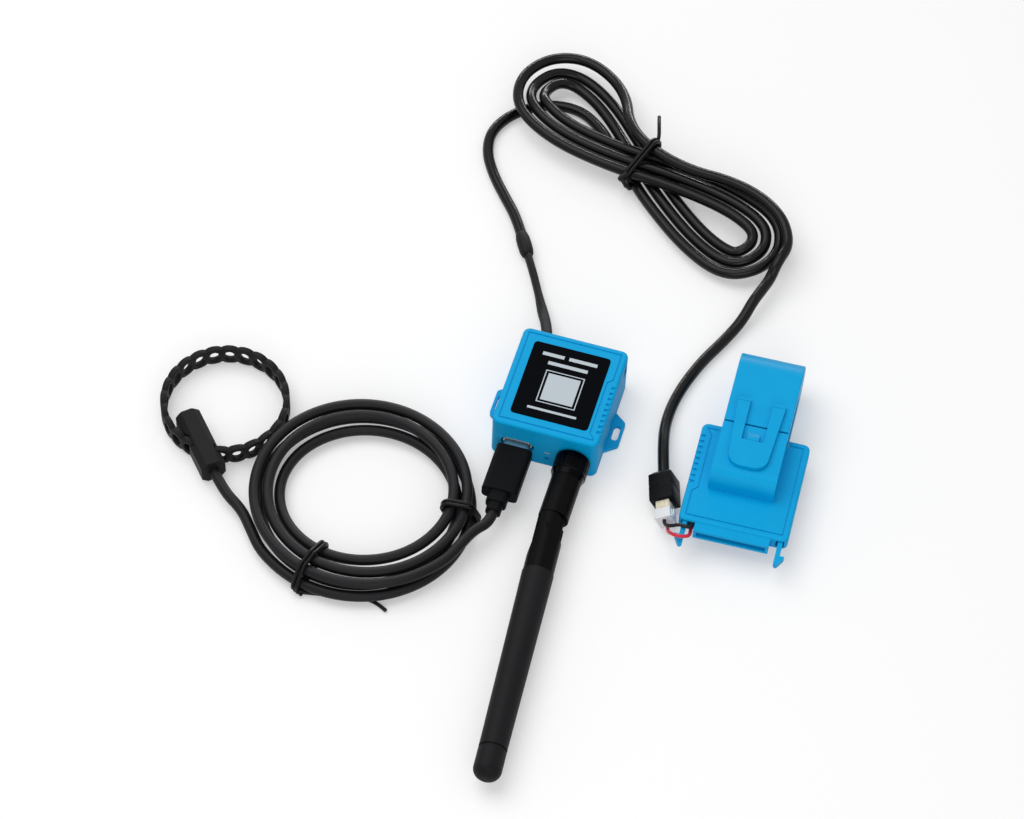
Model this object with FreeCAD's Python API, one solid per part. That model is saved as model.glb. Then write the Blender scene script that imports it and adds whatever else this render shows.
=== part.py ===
import FreeCAD, Part
import math
import os

V = FreeCAD.Vector

# Driving dimensions in millimetres
# Frame: origin at the centre of the transceiver's base, +X to its right,
# +Y towards its lead, +Z up. Everything lies on the plane z = 0.

# Clearances shared by many pieces, and how far a cutter runs past a surface
slip = 0.05
seat_gap = 0.02
turn_gap = 0.06
past = 1.0
cut_reach = 10.0

# Transceiver housing
housing_width = 33.0
housing_depth = 36.5
housing_height = 16.3
housing_wall = 1.6
housing_corner = 2.2
housing_top_edge = 1.0
cover_thickness = 1.5
cover_lip = 1.2
fit_gap = 0.1
inner_corner_extra = 0.5
lip_corner = 1.0
lip_thickness = 1.0
reset_lip_gap = 2.4
antenna_lip_gap = 5.0
groove_inset = 1.7
groove_step = 1.5
groove_width = 0.45
groove_depth = 0.3
rib_count = 9
rib_pitch = 2.1
rib_width = 1.0
rib_depth = 0.5
rib_first_from_front = 4.6
label_width = 24.0
label_length = 27.5
label_corner = 1.2
label_thickness = 0.3
label_recess = 0.2
ear_reach = 3.8
ear_middle = -1.7
ear_root_length = 16.0
ear_tip_length = 8.6
ear_slot_width = 2.1
ear_slot_length = 5.6
ear_corner = 1.2
snap_window_length = 2.8
snap_window_height = 4.2
snap_window_from_back = 4.0
snap_window_level = 11.6

# Inside the transceiver
board_thickness = 1.0
board_level = 4.0
board_margin = 0.6
boss_radius = 1.9
boss_inset = 4.2
front_boss_from_front = 9.9
screw_radius = 0.8
screw_head_radius = 1.4
screw_head_height = 0.8
screw_length = 6.0
screw_short = 0.2
screw_cross = (0.8, 0.2, 0.45)
thread_slip = 0.08
module_size = 12.0
module_height = 2.3
module_from_right = 2.7
module_front = -6.5
module_corner = 0.4
jack_clearance = 2.2
switch_notch = (1.6, 3.2)
capacitor_radius = 3.0
capacitor_from_left = 0.9
capacitor_to_module = 1.6
capacitor_back = 8.6
capacitor_spacing = 0.4
lead_terminal_size = (6.2, 3.3, 3.0)
lead_terminal_left = -8.9
lead_terminal_from_back = 0.75

# Front of the transceiver
port_x = -8.1
port_level = 7.0
port_slot_width = 10.4
port_slot_height = 4.4
receptacle_width = 8.94
receptacle_height = 3.16
receptacle_length = 7.3
receptacle_wall = 0.3
receptacle_set_back = 0.5
tongue_width = 6.6
tongue_thickness = 0.7
tongue_set_back = 1.6
receptacle_back = 0.5
foot_half = 3.0
foot_length = 1.6
foot_overlap = 0.2
plug_shell_width = 8.24
plug_shell_height = 2.46
plug_shell_wall = 0.3
plug_shell_floor = 0.8
plug_entry = 5.6
plug_stand_off = 2.7
plug_body_width = 11.0
plug_body_height = 5.6
plug_body_length = 16.2
plug_body_corner = 1.6
plug_corner_flat = 0.3
plug_neck_one = (6.2, 4.8, 3.8)
plug_neck_two = (4.6, 4.2, 3.0)
reset_x = 1.3
reset_level = 3.5
reset_hole_radius = 0.75
reset_pin_radius = 0.6
reset_set_back = 0.7
reset_pin_entry = 1.2
switch_set_back = 0.9
switch_half = 1.5
switch_depth = 2.2
switch_drop = 1.6
switch_lip = 0.5
switch_lip_reach = 1.2
switch_bore = 1.6
light_x = 1.2
light_level = 6.1
light_width = 1.7
light_height = 0.6
light_guide = (0.5, 3.4, 0.4, 0.92)

# Antenna
antenna_from_right = 6.9
antenna_level = 7.0
jack_radius = 3.0
jack_flange_radius = 4.4
jack_flange_thickness = 1.2
jack_reach = 7.2
lock_nut_radius = 4.0
lock_nut_thickness = 1.2
jack_tail = 1.2
jack_bore = (1.6, 3.5)
knurl_nut_radius = 5.35
knurl_nut_length = 8.0
knurl_band_length = 6.4
knurl_count = 30
knurl_depth = 0.3
knurl_chamfer = 0.4
knurl_offset = 0.1
knurl_end = 0.5
skirt_steps = (0.25, 0.7)
skirt_overlap = 0.2
nut_bore_extra = 0.4
nut_stand_off = 0.4
stem_radius = 4.6
stem_end_from_wall = 22.4
collar_neck_radius = 3.6
knuckle_gap = 0.25
pivot_from_stem_end = 5.2
pivot_pin_radius = 0.9
tongue_half = 2.0
eye_extra = 1.2
knuckle_flat = (0.7, 6.0, 10.0)
fork_gap = 0.15
knuckle_end_from_pivot = 14.8
sleeve_root_radius = 4.75
sleeve_tip_radius = 4.15
sleeve_length = 58.6
tip_cap_length = 11.0
tip_groove_width = 0.8
tip_groove_depth = 0.35
tip_groove_from_end = 1.0
tip_roundness = 0.8
sleeve_end_wall = 3.0
radiator_socket = 6.0
radiator_radius = 1.6
antenna_rest_tilt = 3.9

# Current transformer, in its own frame: plan centre of its flat plate
clamp_x = 60.97
clamp_y = -13.21
clamp_turn = 2.25
plate_width = 33.0
plate_depth = 35.6
plate_bottom = 6.5
plate_top = 10.8
plate_seam = 8.4
plate_wall = 1.2
plate_skin = 0.9
plate_corner = 2.0
plate_edge = 0.8
head_x = -0.4
head_width = 19.8
head_height = 18.0
head_front = -5.3
split_y = 14.9
split_gap = 0.6
jaw_end = 44.8
jaw_end_radius = 8.4
window_height = 7.4
window_end = 34.0
head_wall = 1.0
head_top_edge = 4.6
head_side_wall = 1.4
head_front_wall = 1.2
notch_gap = 0.4
jaw_rim = 0.4
core_width = 12.6
core_gap = 0.1
pole_reach = 0.25
lower_pole_reach = 0.05
core_leg_reach = 16.0
bobbin_wall = 0.8
flange_reach = (2.0, 1.6, 3.4)
winding_gap = 0.1
winding_corner = 0.6
hinge_radius = 2.0
hinge_pin_radius = 0.8
hinge_ear_width = 2.0
hinge_clear = 0.15
hinge_sweep_gap = 0.35
latch_gap = 0.15
latch_thickness = 1.25
latch_outer = 14.6
latch_inner = 6.8
latch_root = 22.6
latch_end = -0.6
latch_end_width = 11.5
latch_end_corner = 4.2
latch_window_front = 8.9
catch_width = 3.6
catch_depth = 3.4
catch_height = 0.9
catch_gap = 0.4
catch_flat = 0.4
pad_length = 1.3
pad_depth = 0.2
leg_thickness = 1.4
leg_height = 2.2
leg_x = 14.4
leg_reach = 7.8
leg_root_depth = 3.6
leg_hook = 1.4
leg_hook_length = 3.2
leg_slot_gap = 0.4
leg_slot_extra = 0.3
leg_post = (1.1, 1.6)
hook_lean = 0.9
tip_bevel = 0.5
spigot_half_width = 11.3
spigot_reach = 2.9
spigot_wall = 0.9
spigot_overlap = 0.2
spigot_step = 0.5
lead_slot_x = -12.25
terminal_front = -16.58
lead_slot_width = 1.7
terminal_reach = (1.2, 1.4, 1.6)

# Leads and cables
lead_radius = 0.55
block_side = 7.3
block_length = 10.6
block_bevel = 1.4
header_size = (4.2, 5.0, 2.8)
wire_plug_size = (4.8, 5.6, 3.6)
connector_level = 5.0
connector_roll = 25.0
connector_x = 36.6
connector_y = -14.3
connector_heading = V(0.29, -0.957, 0.0)
extension_diameter = 3.5
housing_lead_diameter = 3.4
shrink_diameter = 4.6
probe_diameter = 3.3
tie_diameter = 1.4
wound_gap = 0.6
soft_gap = 0.3
hank_tie_gap = 0.55
hank_tie_reach = 20.0
hank_tie_shift = -1.0
hank_run_in = 6.0
hank_run_out = 4.0
plug_cable_run = 3.6
coil_run_in = 5.5
coil_run_out = 7.0
probe_run_in = 8.0
coil_tie_angles = (6.0, -105.4)

# Temperature probe
probe_x = -92.3
probe_y = -52.9
probe_level = 4.3
probe_length = 21.75
probe_angle = 131.46
probe_section = (7.6, 8.6)
probe_chamfer = 1.8
probe_end_chamfer = 1.0
sensor_start = 0.72
strap_gap = 0.3
sensor_radius = 1.6
strap_x = -97.1
strap_y = -28.7
strap_radius = 18.6
strap_thickness = 1.9
strap_height = 6.9
strap_level = 0.8
strap_hole_count = 24
strap_hole_radius = 1.5
strap_scallop_depth = 0.9
scallop_outset = 0.6
strap_cut = 3.0

# Places of the wound cables
coil_x = -46.8
coil_y = -48.8
hank_x = 0.5
hank_y = 96.4

# Points that the routes share
connector_start = V(connector_x, connector_y, connector_level)
probe_near = V(probe_x, probe_y, probe_level)
probe_way = V(math.cos(math.radians(probe_angle)), math.sin(math.radians(probe_angle)), 0)
probe_far = probe_near + probe_way * probe_length
strap_centre = V(strap_x, strap_y, 0)

# Cord routes, chosen by hand along the photographed cables
housing_lead_route = [
    V(-10.5, 17.6, 7.0), V(-10.5, 22.5, 7.0), V(-12.4, 28.6, 5.2),
    V(-15.8, 35.6, 2.6), V(-18.9, 42.2, 1.75), V(-22.74, 49.35, 2.35),
    V(-25.9, 54.8, 2.35)]
housing_cable_route = [
    V(-30.3, 62.4, 2.35), V(-33.81, 68.45, 2.35), V(-39.6, 75.6, 1.75),
    V(-45.6, 83.1, 1.75), V(-50.3, 91.3, 1.75), V(-51.6, 100.4, 1.75),
    V(-46.9, 109.8, 1.75), V(-37.4, 116.8, 1.75), V(-26.4, 117.6, 1.9),
    V(-17.9, 111.2, 2.8)]
clamp_cable_tail = [
    V(44.8, 49.6, 3.0), V(41.2, 41.4, 1.75), V(36.4, 31.2, 1.75),
    V(32.6, 18.0, 1.75), V(31.8, 5.6, 2.6), V(34.19, -6.36, 5.0),
    connector_start]
black_lead_route = [
    V(41.01, -30.73, 6.18), V(41.51, -32.39, 6.18), V(43.4, -33.6, 8.2),
    V(46.4, -33.7, 10.75), V(48.9, -33.9, 10.4), V(49.47, -32.5, 9.32),
    V(49.38, -30.26, 9.32)]
red_lead_route = [
    V(42.06, -30.41, 3.82), V(42.65, -32.37, 3.82), V(43.6, -36.2, 8.8),
    V(46.4, -38.6, 11.8), V(49.5, -37.3, 10.8), V(49.75, -34.8, 8.6),
    V(49.48, -32.6, 7.98), V(49.38, -30.26, 7.98)]

# Derived sizes
half_w = housing_width / 2
half_d = housing_depth / 2
front_y = -half_d
back_y = half_d
label_floor = housing_height - label_recess
antenna_x = half_w - antenna_from_right
module_left = half_w - housing_wall - module_from_right - module_size
capacitor_left = -half_w + housing_wall + capacitor_from_left
capacitor_length = module_left - capacitor_to_module - capacitor_left
lead_terminal_back = back_y - housing_wall - lead_terminal_from_back
stem_end_y = front_y - stem_end_from_wall
pivot_y = stem_end_y - pivot_from_stem_end
knuckle_end_y = pivot_y - knuckle_end_from_pivot
sleeve_end_y = knuckle_end_y - sleeve_length
jaw_front = split_y + split_gap
plate_half_w = plate_width / 2
plate_half_d = plate_depth / 2
head_half = head_width / 2
head_left = head_x - head_half
head_right = head_x + head_half
window_low = (head_height - window_height) / 2
window_high = window_low + window_height
core_low = (head_wall + core_gap, window_low - head_wall - core_gap)
core_high = (head_height - core_low[1], head_height - core_low[0])
core_leg = core_low[1] - core_low[0]
hinge_y = jaw_front + hinge_radius
hinge_z = hinge_radius
latch_low = head_height + latch_gap
latch_high = latch_low + latch_thickness
leg_mid = (plate_bottom + plate_top) / 2
leg_low = leg_mid - leg_height / 2 - 0.05
leg_high = leg_low + leg_height


# Small shape helpers

def block(x0, x1, y0, y1, z0, z1):
    return Part.makeBox(x1 - x0, y1 - y0, z1 - z0, V(x0, y0, z0))


def rod(start, direction, radius, length):
    return Part.makeCylinder(radius, length, start, direction)


def prism(points, direction):
    loop = Part.makePolygon(points + [points[0]])
    return Part.Face(loop).extrude(direction)


def upright_edges(shape, x_side=None):
    chosen = []
    for edge in shape.Edges:
        ends = [v.Point for v in edge.Vertexes]
        if len(ends) != 2:
            continue
        run = ends[1] - ends[0]
        if abs(run.x) < 1e-6 and abs(run.y) < 1e-6 and abs(run.z) > 1e-6:
            if x_side is None or ends[0].x * x_side > 0:
                chosen.append(edge)
    return chosen


def edges_at_level(shape, level):
    return [e for e in shape.Edges
            if all(abs(v.Point.z - level) < 1e-6 for v in e.Vertexes)]


def rounded_block(x0, x1, y0, y1, z0, z1, corner):
    shape = block(x0, x1, y0, y1, z0, z1)
    return shape.makeFillet(corner, upright_edges(shape))


def slot_prism(centre, width, height, length):
    """A stadium in the XZ plane, swept along +Y from its centre."""
    radius = height / 2
    reach = width / 2 - radius
    bar = block(centre.x - reach, centre.x + reach, centre.y, centre.y + length,
                centre.z - radius, centre.z + radius)
    ends = [rod(centre + V(side * reach, 0, 0), V(0, 1, 0), radius, length)
            for side in (-1, 1)]
    return bar.fuse(ends).removeSplitter()


def one_solid(shape):
    solids = shape.Solids
    if len(solids) == 1:
        return solids[0]
    return shape


def save(name, shape):
    shape.exportStep("parts/" + name + ".step")
    print(name, "solids", len(shape.Solids), "volume", round(shape.Volume, 2),
          "valid", shape.isValid())


def placed(shape, turn, move):
    moved = shape.copy()
    moved.Placement = FreeCAD.Placement(move, FreeCAD.Rotation(V(0, 0, 1), turn)).multiply(
        moved.Placement)
    return moved


def at_clamp(shape):
    return placed(shape, clamp_turn, V(clamp_x, clamp_y, 0))


# Cord tubes: straight runs joined by tangent arcs

def cord_edges(route, name):
    edges = []
    start = route[0]
    radii = []
    for i in range(1, len(route) - 1):
        before = route[i] - route[i - 1]
        after = route[i + 1] - route[i]
        shorter = min(before.Length, after.Length)
        turn = before.getAngle(after)
        radius = 0.45 * shorter / math.tan(turn / 2)
        trim = 0.45 * shorter
        into = before.normalize()
        out = after.normalize()
        arc_start = route[i] - into * trim
        arc_end = route[i] + out * trim
        inward = (out - into).normalize()
        centre_reach = math.hypot(trim, radius)
        arc_mid = route[i] + inward * (centre_reach - radius)
        edges.append(Part.LineSegment(start, arc_start).toShape())
        edges.append(Part.Arc(arc_start, arc_mid, arc_end).toShape())
        start = arc_end
        radii.append(radius)
    edges.append(Part.LineSegment(start, route[-1]).toShape())
    length = sum(edge.Length for edge in edges)
    print(name, "length", round(length, 1), "radii", [round(r, 1) for r in radii])
    return edges


def tube_on(edges, diameter, name):
    path = Part.Wire(edges)
    first = edges[0]
    heading = first.tangentAt(first.FirstParameter)
    start = first.valueAt(first.FirstParameter)
    ring = Part.Wire(Part.makeCircle(diameter / 2, start, heading))
    tube = path.makePipeShell([ring], True, False)
    section = math.pi * diameter ** 2 / 4
    share = tube.Volume / (section * path.Length)
    print(name, "volume share", round(share, 4), "wire length", round(path.Length, 1))
    return one_solid(tube)


def cord_tube(route, diameter, name):
    return tube_on(cord_edges(route, name), diameter, name)


# Wound tubes: a pair of tangent arcs between each two stations of a formula

def biarc(p0, t0, p1, t1):
    """Two arcs that leave p0 along t0 and reach p1 along t1."""
    v = p1 - p0
    t = t0 + t1
    a = 2 * (1 - t0.dot(t1))
    b = 2 * v.dot(t)
    c = -v.dot(v)
    if abs(a) < 1e-9:
        d = -c / b
    else:
        d = (-b + math.sqrt(b * b - 4 * a * c)) / (2 * a)
    q0 = p0 + t0 * d
    q1 = p1 - t1 * d
    joint = (q0 + q1) * 0.5
    return [arc_from(p0, t0, joint), arc_to(joint, p1, t1)]


def arc_from(start, heading, end):
    chord = end - start
    half = heading.getAngle(chord)
    if half < 1e-5:
        return Part.LineSegment(start, end).toShape()
    side = heading - chord * (heading.dot(chord) / chord.dot(chord))
    side.normalize()
    sagitta = chord.Length / 2 * math.tan(half / 2)
    middle = (start + end) * 0.5 + side * sagitta
    return Part.Arc(start, middle, end).toShape()


def arc_to(start, end, heading):
    back = arc_from(end, heading * -1, start)
    if back.Curve.TypeId == "Part::GeomLine":
        return Part.LineSegment(start, end).toShape()
    middle = back.valueAt((back.FirstParameter + back.LastParameter) / 2)
    return Part.Arc(start, middle, end).toShape()


def wound_edges(stations):
    """stations is a list of (point, unit heading)."""
    edges = []
    for (p0, t0), (p1, t1) in zip(stations, stations[1:]):
        edges += biarc(p0, t0, p1, t1)
    return edges


def edge_points(edges, step):
    points = []
    for edge in edges:
        count = max(2, int(edge.Length / step))
        for i in range(count):
            at = edge.FirstParameter + (edge.LastParameter - edge.FirstParameter) * i / count
            points.append(edge.valueAt(at))
    return points


def least_gap(edges, diameter, name):
    """Least distance between stretches that lie further apart than 4 diameters of cord."""
    step = 1.0
    points = edge_points(edges, step)
    far = int(4 * diameter / step)
    least = 1e9
    for i in range(0, len(points), 2):
        for j in range(i + far, len(points), 2):
            least = min(least, (points[i] - points[j]).Length)
    print(name, "least gap to itself", round(least - diameter, 2))


def tie_round(edges, origin, across, diameter, gap, wire):
    """A closed wire round every strand that crosses the half plane from origin along across."""
    normal = V(-across.y, across.x, 0)
    hits = []
    points = edge_points(edges, 0.25)
    for p, q in zip(points, points[1:]):
        dp = (p - origin).dot(normal)
        dq = (q - origin).dot(normal)
        if dp * dq > 0 or dp == dq:
            continue
        at = p + (q - p) * (dp / (dp - dq))
        reach = (at - origin).dot(across)
        if reach > 0:
            hits.append((reach, at.z))
    half = diameter / 2 + gap + wire / 2
    low_r = min(h[0] for h in hits) - half
    high_r = max(h[0] for h in hits) + half
    low_z = wire / 2
    high_z = max(h[1] for h in hits) + half
    radius = diameter / 2 + gap
    return ring_loop(origin, across, low_r, high_r, low_z, high_z, radius, wire)


def ring_loop(origin, across, low_r, high_r, low_z, high_z, radius, wire):
    def at(r, z):
        return V(origin.x, origin.y, 0) + across * r + V(0, 0, z)
    corner = radius * (1 - math.sqrt(0.5))
    edges = [
        Part.LineSegment(at(low_r + radius, low_z), at(high_r - radius, low_z)).toShape(),
        Part.Arc(at(high_r - radius, low_z), at(high_r - corner, low_z + corner),
                 at(high_r, low_z + radius)).toShape(),
        Part.LineSegment(at(high_r, low_z + radius), at(high_r, high_z - radius)).toShape(),
        Part.Arc(at(high_r, high_z - radius), at(high_r - corner, high_z - corner),
                 at(high_r - radius, high_z)).toShape(),
        Part.LineSegment(at(high_r - radius, high_z), at(low_r + radius, high_z)).toShape(),
        Part.Arc(at(low_r + radius, high_z), at(low_r + corner, high_z - corner),
                 at(low_r, high_z - radius)).toShape(),
        Part.LineSegment(at(low_r, high_z - radius), at(low_r, low_z + radius)).toShape(),
        Part.Arc(at(low_r, low_z + radius), at(low_r + corner, low_z + corner),
                 at(low_r + radius, low_z)).toShape()]
    path = Part.Wire(edges)
    ring = Part.Wire(Part.makeCircle(wire / 2, at(low_r + radius, low_z), across))
    return one_solid(path.makePipeShell([ring], True, False))


# Transceiver housing

def groove_outline(inset):
    """Line of the lid groove, stepped inwards beside the finger ribs."""
    x = half_w - inset
    y = half_d - inset
    ribs_back = front_y + rib_first_from_front + rib_count * rib_pitch
    ribs_front = front_y + rib_first_from_front - rib_pitch
    inner = x - groove_step
    return [V(-x, -y, 0), V(x, -y, 0), V(x, ribs_front, 0), V(inner, ribs_front + groove_step, 0),
            V(inner, ribs_back, 0), V(x, ribs_back + groove_step, 0), V(x, y, 0), V(-x, y, 0)]


def groove_ring(inset, top, depth, outline):
    outer = prism([p + V(0, 0, top - depth) for p in outline(inset)], V(0, 0, depth + 1))
    inner = prism([p + V(0, 0, top - depth) for p in outline(inset + groove_width)],
                  V(0, 0, depth + 1))
    return outer.cut(inner)


def corner_places():
    x = half_w - boss_inset
    back = half_d - boss_inset
    front = front_boss_from_front - half_d
    return [(-x, back), (x, back), (-x, front), (x, front)]


def make_upper_housing():
    shell = rounded_block(-half_w, half_w, -half_d, half_d, cover_thickness, housing_height,
                          housing_corner)
    shell = shell.makeFillet(housing_top_edge, edges_at_level(shell, housing_height))
    inner_w = half_w - housing_wall
    inner_d = half_d - housing_wall
    roof = housing_height - housing_wall
    cavity = rounded_block(-inner_w, inner_w, -inner_d, inner_d, cover_thickness - past, roof,
                           housing_corner - housing_wall + inner_corner_extra)
    shell = shell.cut(cavity)
    bosses = []
    for x, y in corner_places()[:2]:
        post = rod(V(x, y, board_level + board_thickness + fit_gap), V(0, 0, 1), boss_radius,
                   roof - board_level - board_thickness)
        hole = rod(V(x, y, 0), V(0, 0, 1), screw_radius - slip, screw_length + past)
        bosses.append(post.cut(hole))
    shell = shell.fuse(bosses)
    cuts = [groove_ring(groove_inset, housing_height, groove_depth, groove_outline)]
    half_l = label_length / 2
    cuts.append(rounded_block(-label_width / 2 - slip, label_width / 2 + slip,
                              -half_l - slip, half_l + slip,
                              label_floor, housing_height + past, label_corner))
    for i in range(rib_count):
        y = front_y + rib_first_from_front + i * rib_pitch
        cuts.append(block(half_w - groove_inset, half_w + past, y, y + rib_width,
                          housing_height - rib_depth, housing_height + past))
    cuts.append(slot_prism(V(port_x, front_y - past, port_level), port_slot_width,
                           port_slot_height, housing_wall + 2 * past))
    cuts.append(rod(V(antenna_x, front_y - past, antenna_level), V(0, 1, 0), jack_radius + fit_gap,
                    housing_wall + 2 * past))
    cuts.append(rod(V(reset_x, front_y - past, reset_level), V(0, 1, 0), reset_hole_radius,
                    housing_wall + 2 * past))
    cuts.append(block(light_x - light_width / 2, light_x + light_width / 2,
                      front_y - past, front_y + housing_wall + past,
                      light_level - light_height / 2, light_level + light_height / 2))
    lead = housing_lead_route[0]
    lead_hole = housing_lead_diameter / 2 + fit_gap
    cuts.append(rod(V(lead.x, back_y - housing_wall - past, lead.z), V(0, 1, 0), lead_hole,
                    housing_wall + 2 * past))
    for side in (-1, 1):
        wall_x = side * half_w
        low_x = min(wall_x + side, wall_x - side * (housing_wall + past))
        high_x = max(wall_x + side, wall_x - side * (housing_wall + past))
        window_y = back_y - snap_window_from_back
        cuts.append(block(low_x, high_x, window_y - snap_window_length / 2,
                          window_y + snap_window_length / 2,
                          snap_window_level - snap_window_height / 2,
                          snap_window_level + snap_window_height / 2))
    for cutter in cuts:
        shell = shell.cut(cutter)
    return one_solid(shell.removeSplitter())


def make_bottom_cover():
    plate = rounded_block(-half_w, half_w, -half_d, half_d, 0, cover_thickness, housing_corner)
    ears = []
    for side in (-1, 1):
        tip = side * (half_w + ear_reach)
        root = side * (half_w - past)
        outline = [V(root, ear_middle - ear_root_length / 2, 0),
                   V(tip, ear_middle - ear_tip_length / 2, 0),
                   V(tip, ear_middle + ear_tip_length / 2, 0),
                   V(root, ear_middle + ear_root_length / 2, 0)]
        ear = prism(outline, V(0, 0, cover_thickness))
        ear = ear.makeFillet(ear_corner, upright_edges(ear, side)[1:3])
        slot_x = side * (half_w + ear_reach / 2)
        reach = ear_slot_length / 2 - ear_slot_width / 2
        slot = block(slot_x - ear_slot_width / 2, slot_x + ear_slot_width / 2,
                     ear_middle - reach, ear_middle + reach, -past, cover_thickness + past)
        for end in (-1, 1):
            slot = slot.fuse(rod(V(slot_x, ear_middle + end * reach, -past), V(0, 0, 1),
                                 ear_slot_width / 2, cover_thickness + 2 * past))
        ears.append(ear.cut(slot))
    plate = plate.fuse(ears)
    lip_w = half_w - housing_wall - fit_gap
    lip_d = half_d - housing_wall - fit_gap
    lip = rounded_block(-lip_w, lip_w, -lip_d, lip_d, cover_thickness,
                        cover_thickness + cover_lip, lip_corner)
    lip = lip.cut(block(-lip_w + lip_thickness, lip_w - lip_thickness,
                        -lip_d + lip_thickness, lip_d - lip_thickness, 0, housing_height))
    for middle, reach in ((reset_x, reset_lip_gap), (antenna_x, antenna_lip_gap)):
        lip = lip.cut(block(middle - reach, middle + reach, -lip_d - past,
                            -lip_d + lip_thickness + past / 2, 0, housing_height))
    plate = plate.fuse(lip)
    for x, y in corner_places():
        post = rod(V(x, y, cover_thickness), V(0, 0, 1), boss_radius,
                   board_level - cover_thickness)
        plate = plate.fuse(post)
    for x, y in corner_places():
        plate = plate.cut(rod(V(x, y, -past), V(0, 0, 1), screw_radius + fit_gap, board_level + 2 * past))
        plate = plate.cut(rod(V(x, y, -past), V(0, 0, 1), screw_head_radius + fit_gap,
                              past + slip + screw_head_height))
    return one_solid(plate.removeSplitter())


def make_housing_screws():
    screws = []
    for x, y in corner_places():
        head = rod(V(x, y, slip), V(0, 0, 1), screw_head_radius, screw_head_height)
        long = screw_length if y > 0 else board_level + board_thickness - screw_short
        shank = rod(V(x, y, slip), V(0, 0, 1), screw_radius - thread_slip, long - slip)
        long_side, short_side, deep = screw_cross
        recess = block(x - long_side, x + long_side, y - short_side, y + short_side, 0, deep)
        cross = block(x - short_side, x + short_side, y - long_side, y + long_side, 0, deep)
        screws.append(head.fuse(shank).cut(recess).cut(cross).removeSplitter())
    return Part.makeCompound(screws)


def make_face_label():
    half_l = label_length / 2
    return rounded_block(-label_width / 2, label_width / 2, -half_l, half_l,
                         label_floor, label_floor + label_thickness, label_corner)


def make_main_board():
    x = half_w - housing_wall - board_margin
    y = half_d - housing_wall - board_margin
    front = -y + jack_flange_thickness + lock_nut_thickness
    board = block(-x, x, -y, y, board_level, board_level + board_thickness)
    board = board.cut(block(antenna_x - jack_flange_radius - board_margin, x + past, -y - past,
                            front + jack_clearance,
                            0, housing_height))
    board = board.cut(block(reset_x - switch_notch[0], reset_x + switch_notch[0], -y - past,
                            front_y + housing_wall + switch_notch[1], 0, housing_height))
    for cx, cy in corner_places():
        board = board.cut(rod(V(cx, cy, 0), V(0, 0, 1), screw_radius + fit_gap, housing_height))
    return one_solid(board)


def make_radio_module():
    low = board_level + board_thickness
    can = block(module_left, module_left + module_size, module_front, module_front + module_size,
                low, low + module_height)
    return can.makeFillet(module_corner, upright_edges(can))


def make_storage_capacitors():
    low = board_level + board_thickness + capacitor_radius
    cells = []
    for i in range(2):
        y = capacitor_back - i * (2 * capacitor_radius + capacitor_spacing)
        cells.append(rod(V(capacitor_left, y, low), V(1, 0, 0), capacitor_radius,
                         capacitor_length))
    return Part.makeCompound(cells)


def make_lead_terminal():
    low = board_level + board_thickness
    wide, deep, tall = lead_terminal_size
    return block(lead_terminal_left, lead_terminal_left + wide, lead_terminal_back - deep,
                 lead_terminal_back, low, low + tall)


def make_usb_port():
    start = V(port_x, front_y + receptacle_set_back, port_level)
    shell = slot_prism(start, receptacle_width, receptacle_height, receptacle_length)
    bore = slot_prism(start - V(0, past, 0), receptacle_width - 2 * receptacle_wall,
                      receptacle_height - 2 * receptacle_wall, receptacle_length)
    tongue = block(port_x - tongue_width / 2, port_x + tongue_width / 2,
                   start.y + tongue_set_back, start.y + receptacle_length - receptacle_back,
                   port_level - tongue_thickness / 2, port_level + tongue_thickness / 2)
    low = port_level - receptacle_height / 2
    foot = block(port_x - foot_half, port_x + foot_half,
                 start.y + receptacle_length - foot_length,
                 start.y + receptacle_length, board_level + board_thickness, low + foot_overlap)
    return one_solid(shell.cut(bore).fuse([tongue, foot]).removeSplitter())


def make_reset_switch():
    """A side-acting push switch that hangs through a notch in the board."""
    front = front_y + housing_wall + switch_set_back
    top = board_level + board_thickness
    back = front + switch_depth
    low_x = reset_x - switch_half
    high_x = reset_x + switch_half
    body = block(low_x, high_x, front, back, board_level - switch_drop, top)
    cap = block(low_x, high_x, front, back + switch_lip_reach, top, top + switch_lip)
    bore = rod(V(reset_x, front - past, reset_level), V(0, 1, 0), reset_pin_radius + slip,
               past + switch_bore)
    return one_solid(body.fuse(cap).cut(bore).removeSplitter())


def make_reset_button():
    front = front_y + reset_set_back
    length = housing_wall + switch_set_back - reset_set_back + reset_pin_entry
    return rod(V(reset_x, front, reset_level), V(0, 1, 0), reset_pin_radius, length)


def make_light_pipe():
    x0 = light_x - light_width / 2 + slip
    x1 = light_x + light_width / 2 - slip
    z0 = light_level - light_height / 2 + slip
    z1 = light_level + light_height / 2 - slip
    wide, long, tall, foot = light_guide
    inner = front_y + housing_wall
    nose = block(x0, x1, front_y + fit_gap, inner + fit_gap, z0, z1)
    body = block(x0 - wide, x1 + wide, inner + seat_gap, inner + long,
                 board_level + board_thickness + foot, z1 + tall)
    return one_solid(nose.fuse(body).removeSplitter())


# Antenna

def tilted(shape):
    """Lean of the whip at rest, about its hinge."""
    pivot = V(antenna_x, pivot_y, 0)
    leaned = shape.copy()
    leaned.rotate(pivot, V(0, 0, 1), antenna_rest_tilt)
    return leaned


def make_antenna_jack():
    axis = V(0, 1, 0)
    inner = front_y + housing_wall
    flange = rod(V(antenna_x, inner + seat_gap, antenna_level), axis, jack_flange_radius,
                 jack_flange_thickness)
    barrel = rod(V(antenna_x, front_y - jack_reach, antenna_level), axis, jack_radius,
                 jack_reach + housing_wall + jack_flange_thickness + lock_nut_thickness + jack_tail)
    bore = rod(V(antenna_x, front_y - jack_reach - past, antenna_level), axis, jack_bore[0],
               past + jack_bore[1])
    return one_solid(barrel.fuse(flange).cut(bore).removeSplitter())


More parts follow.
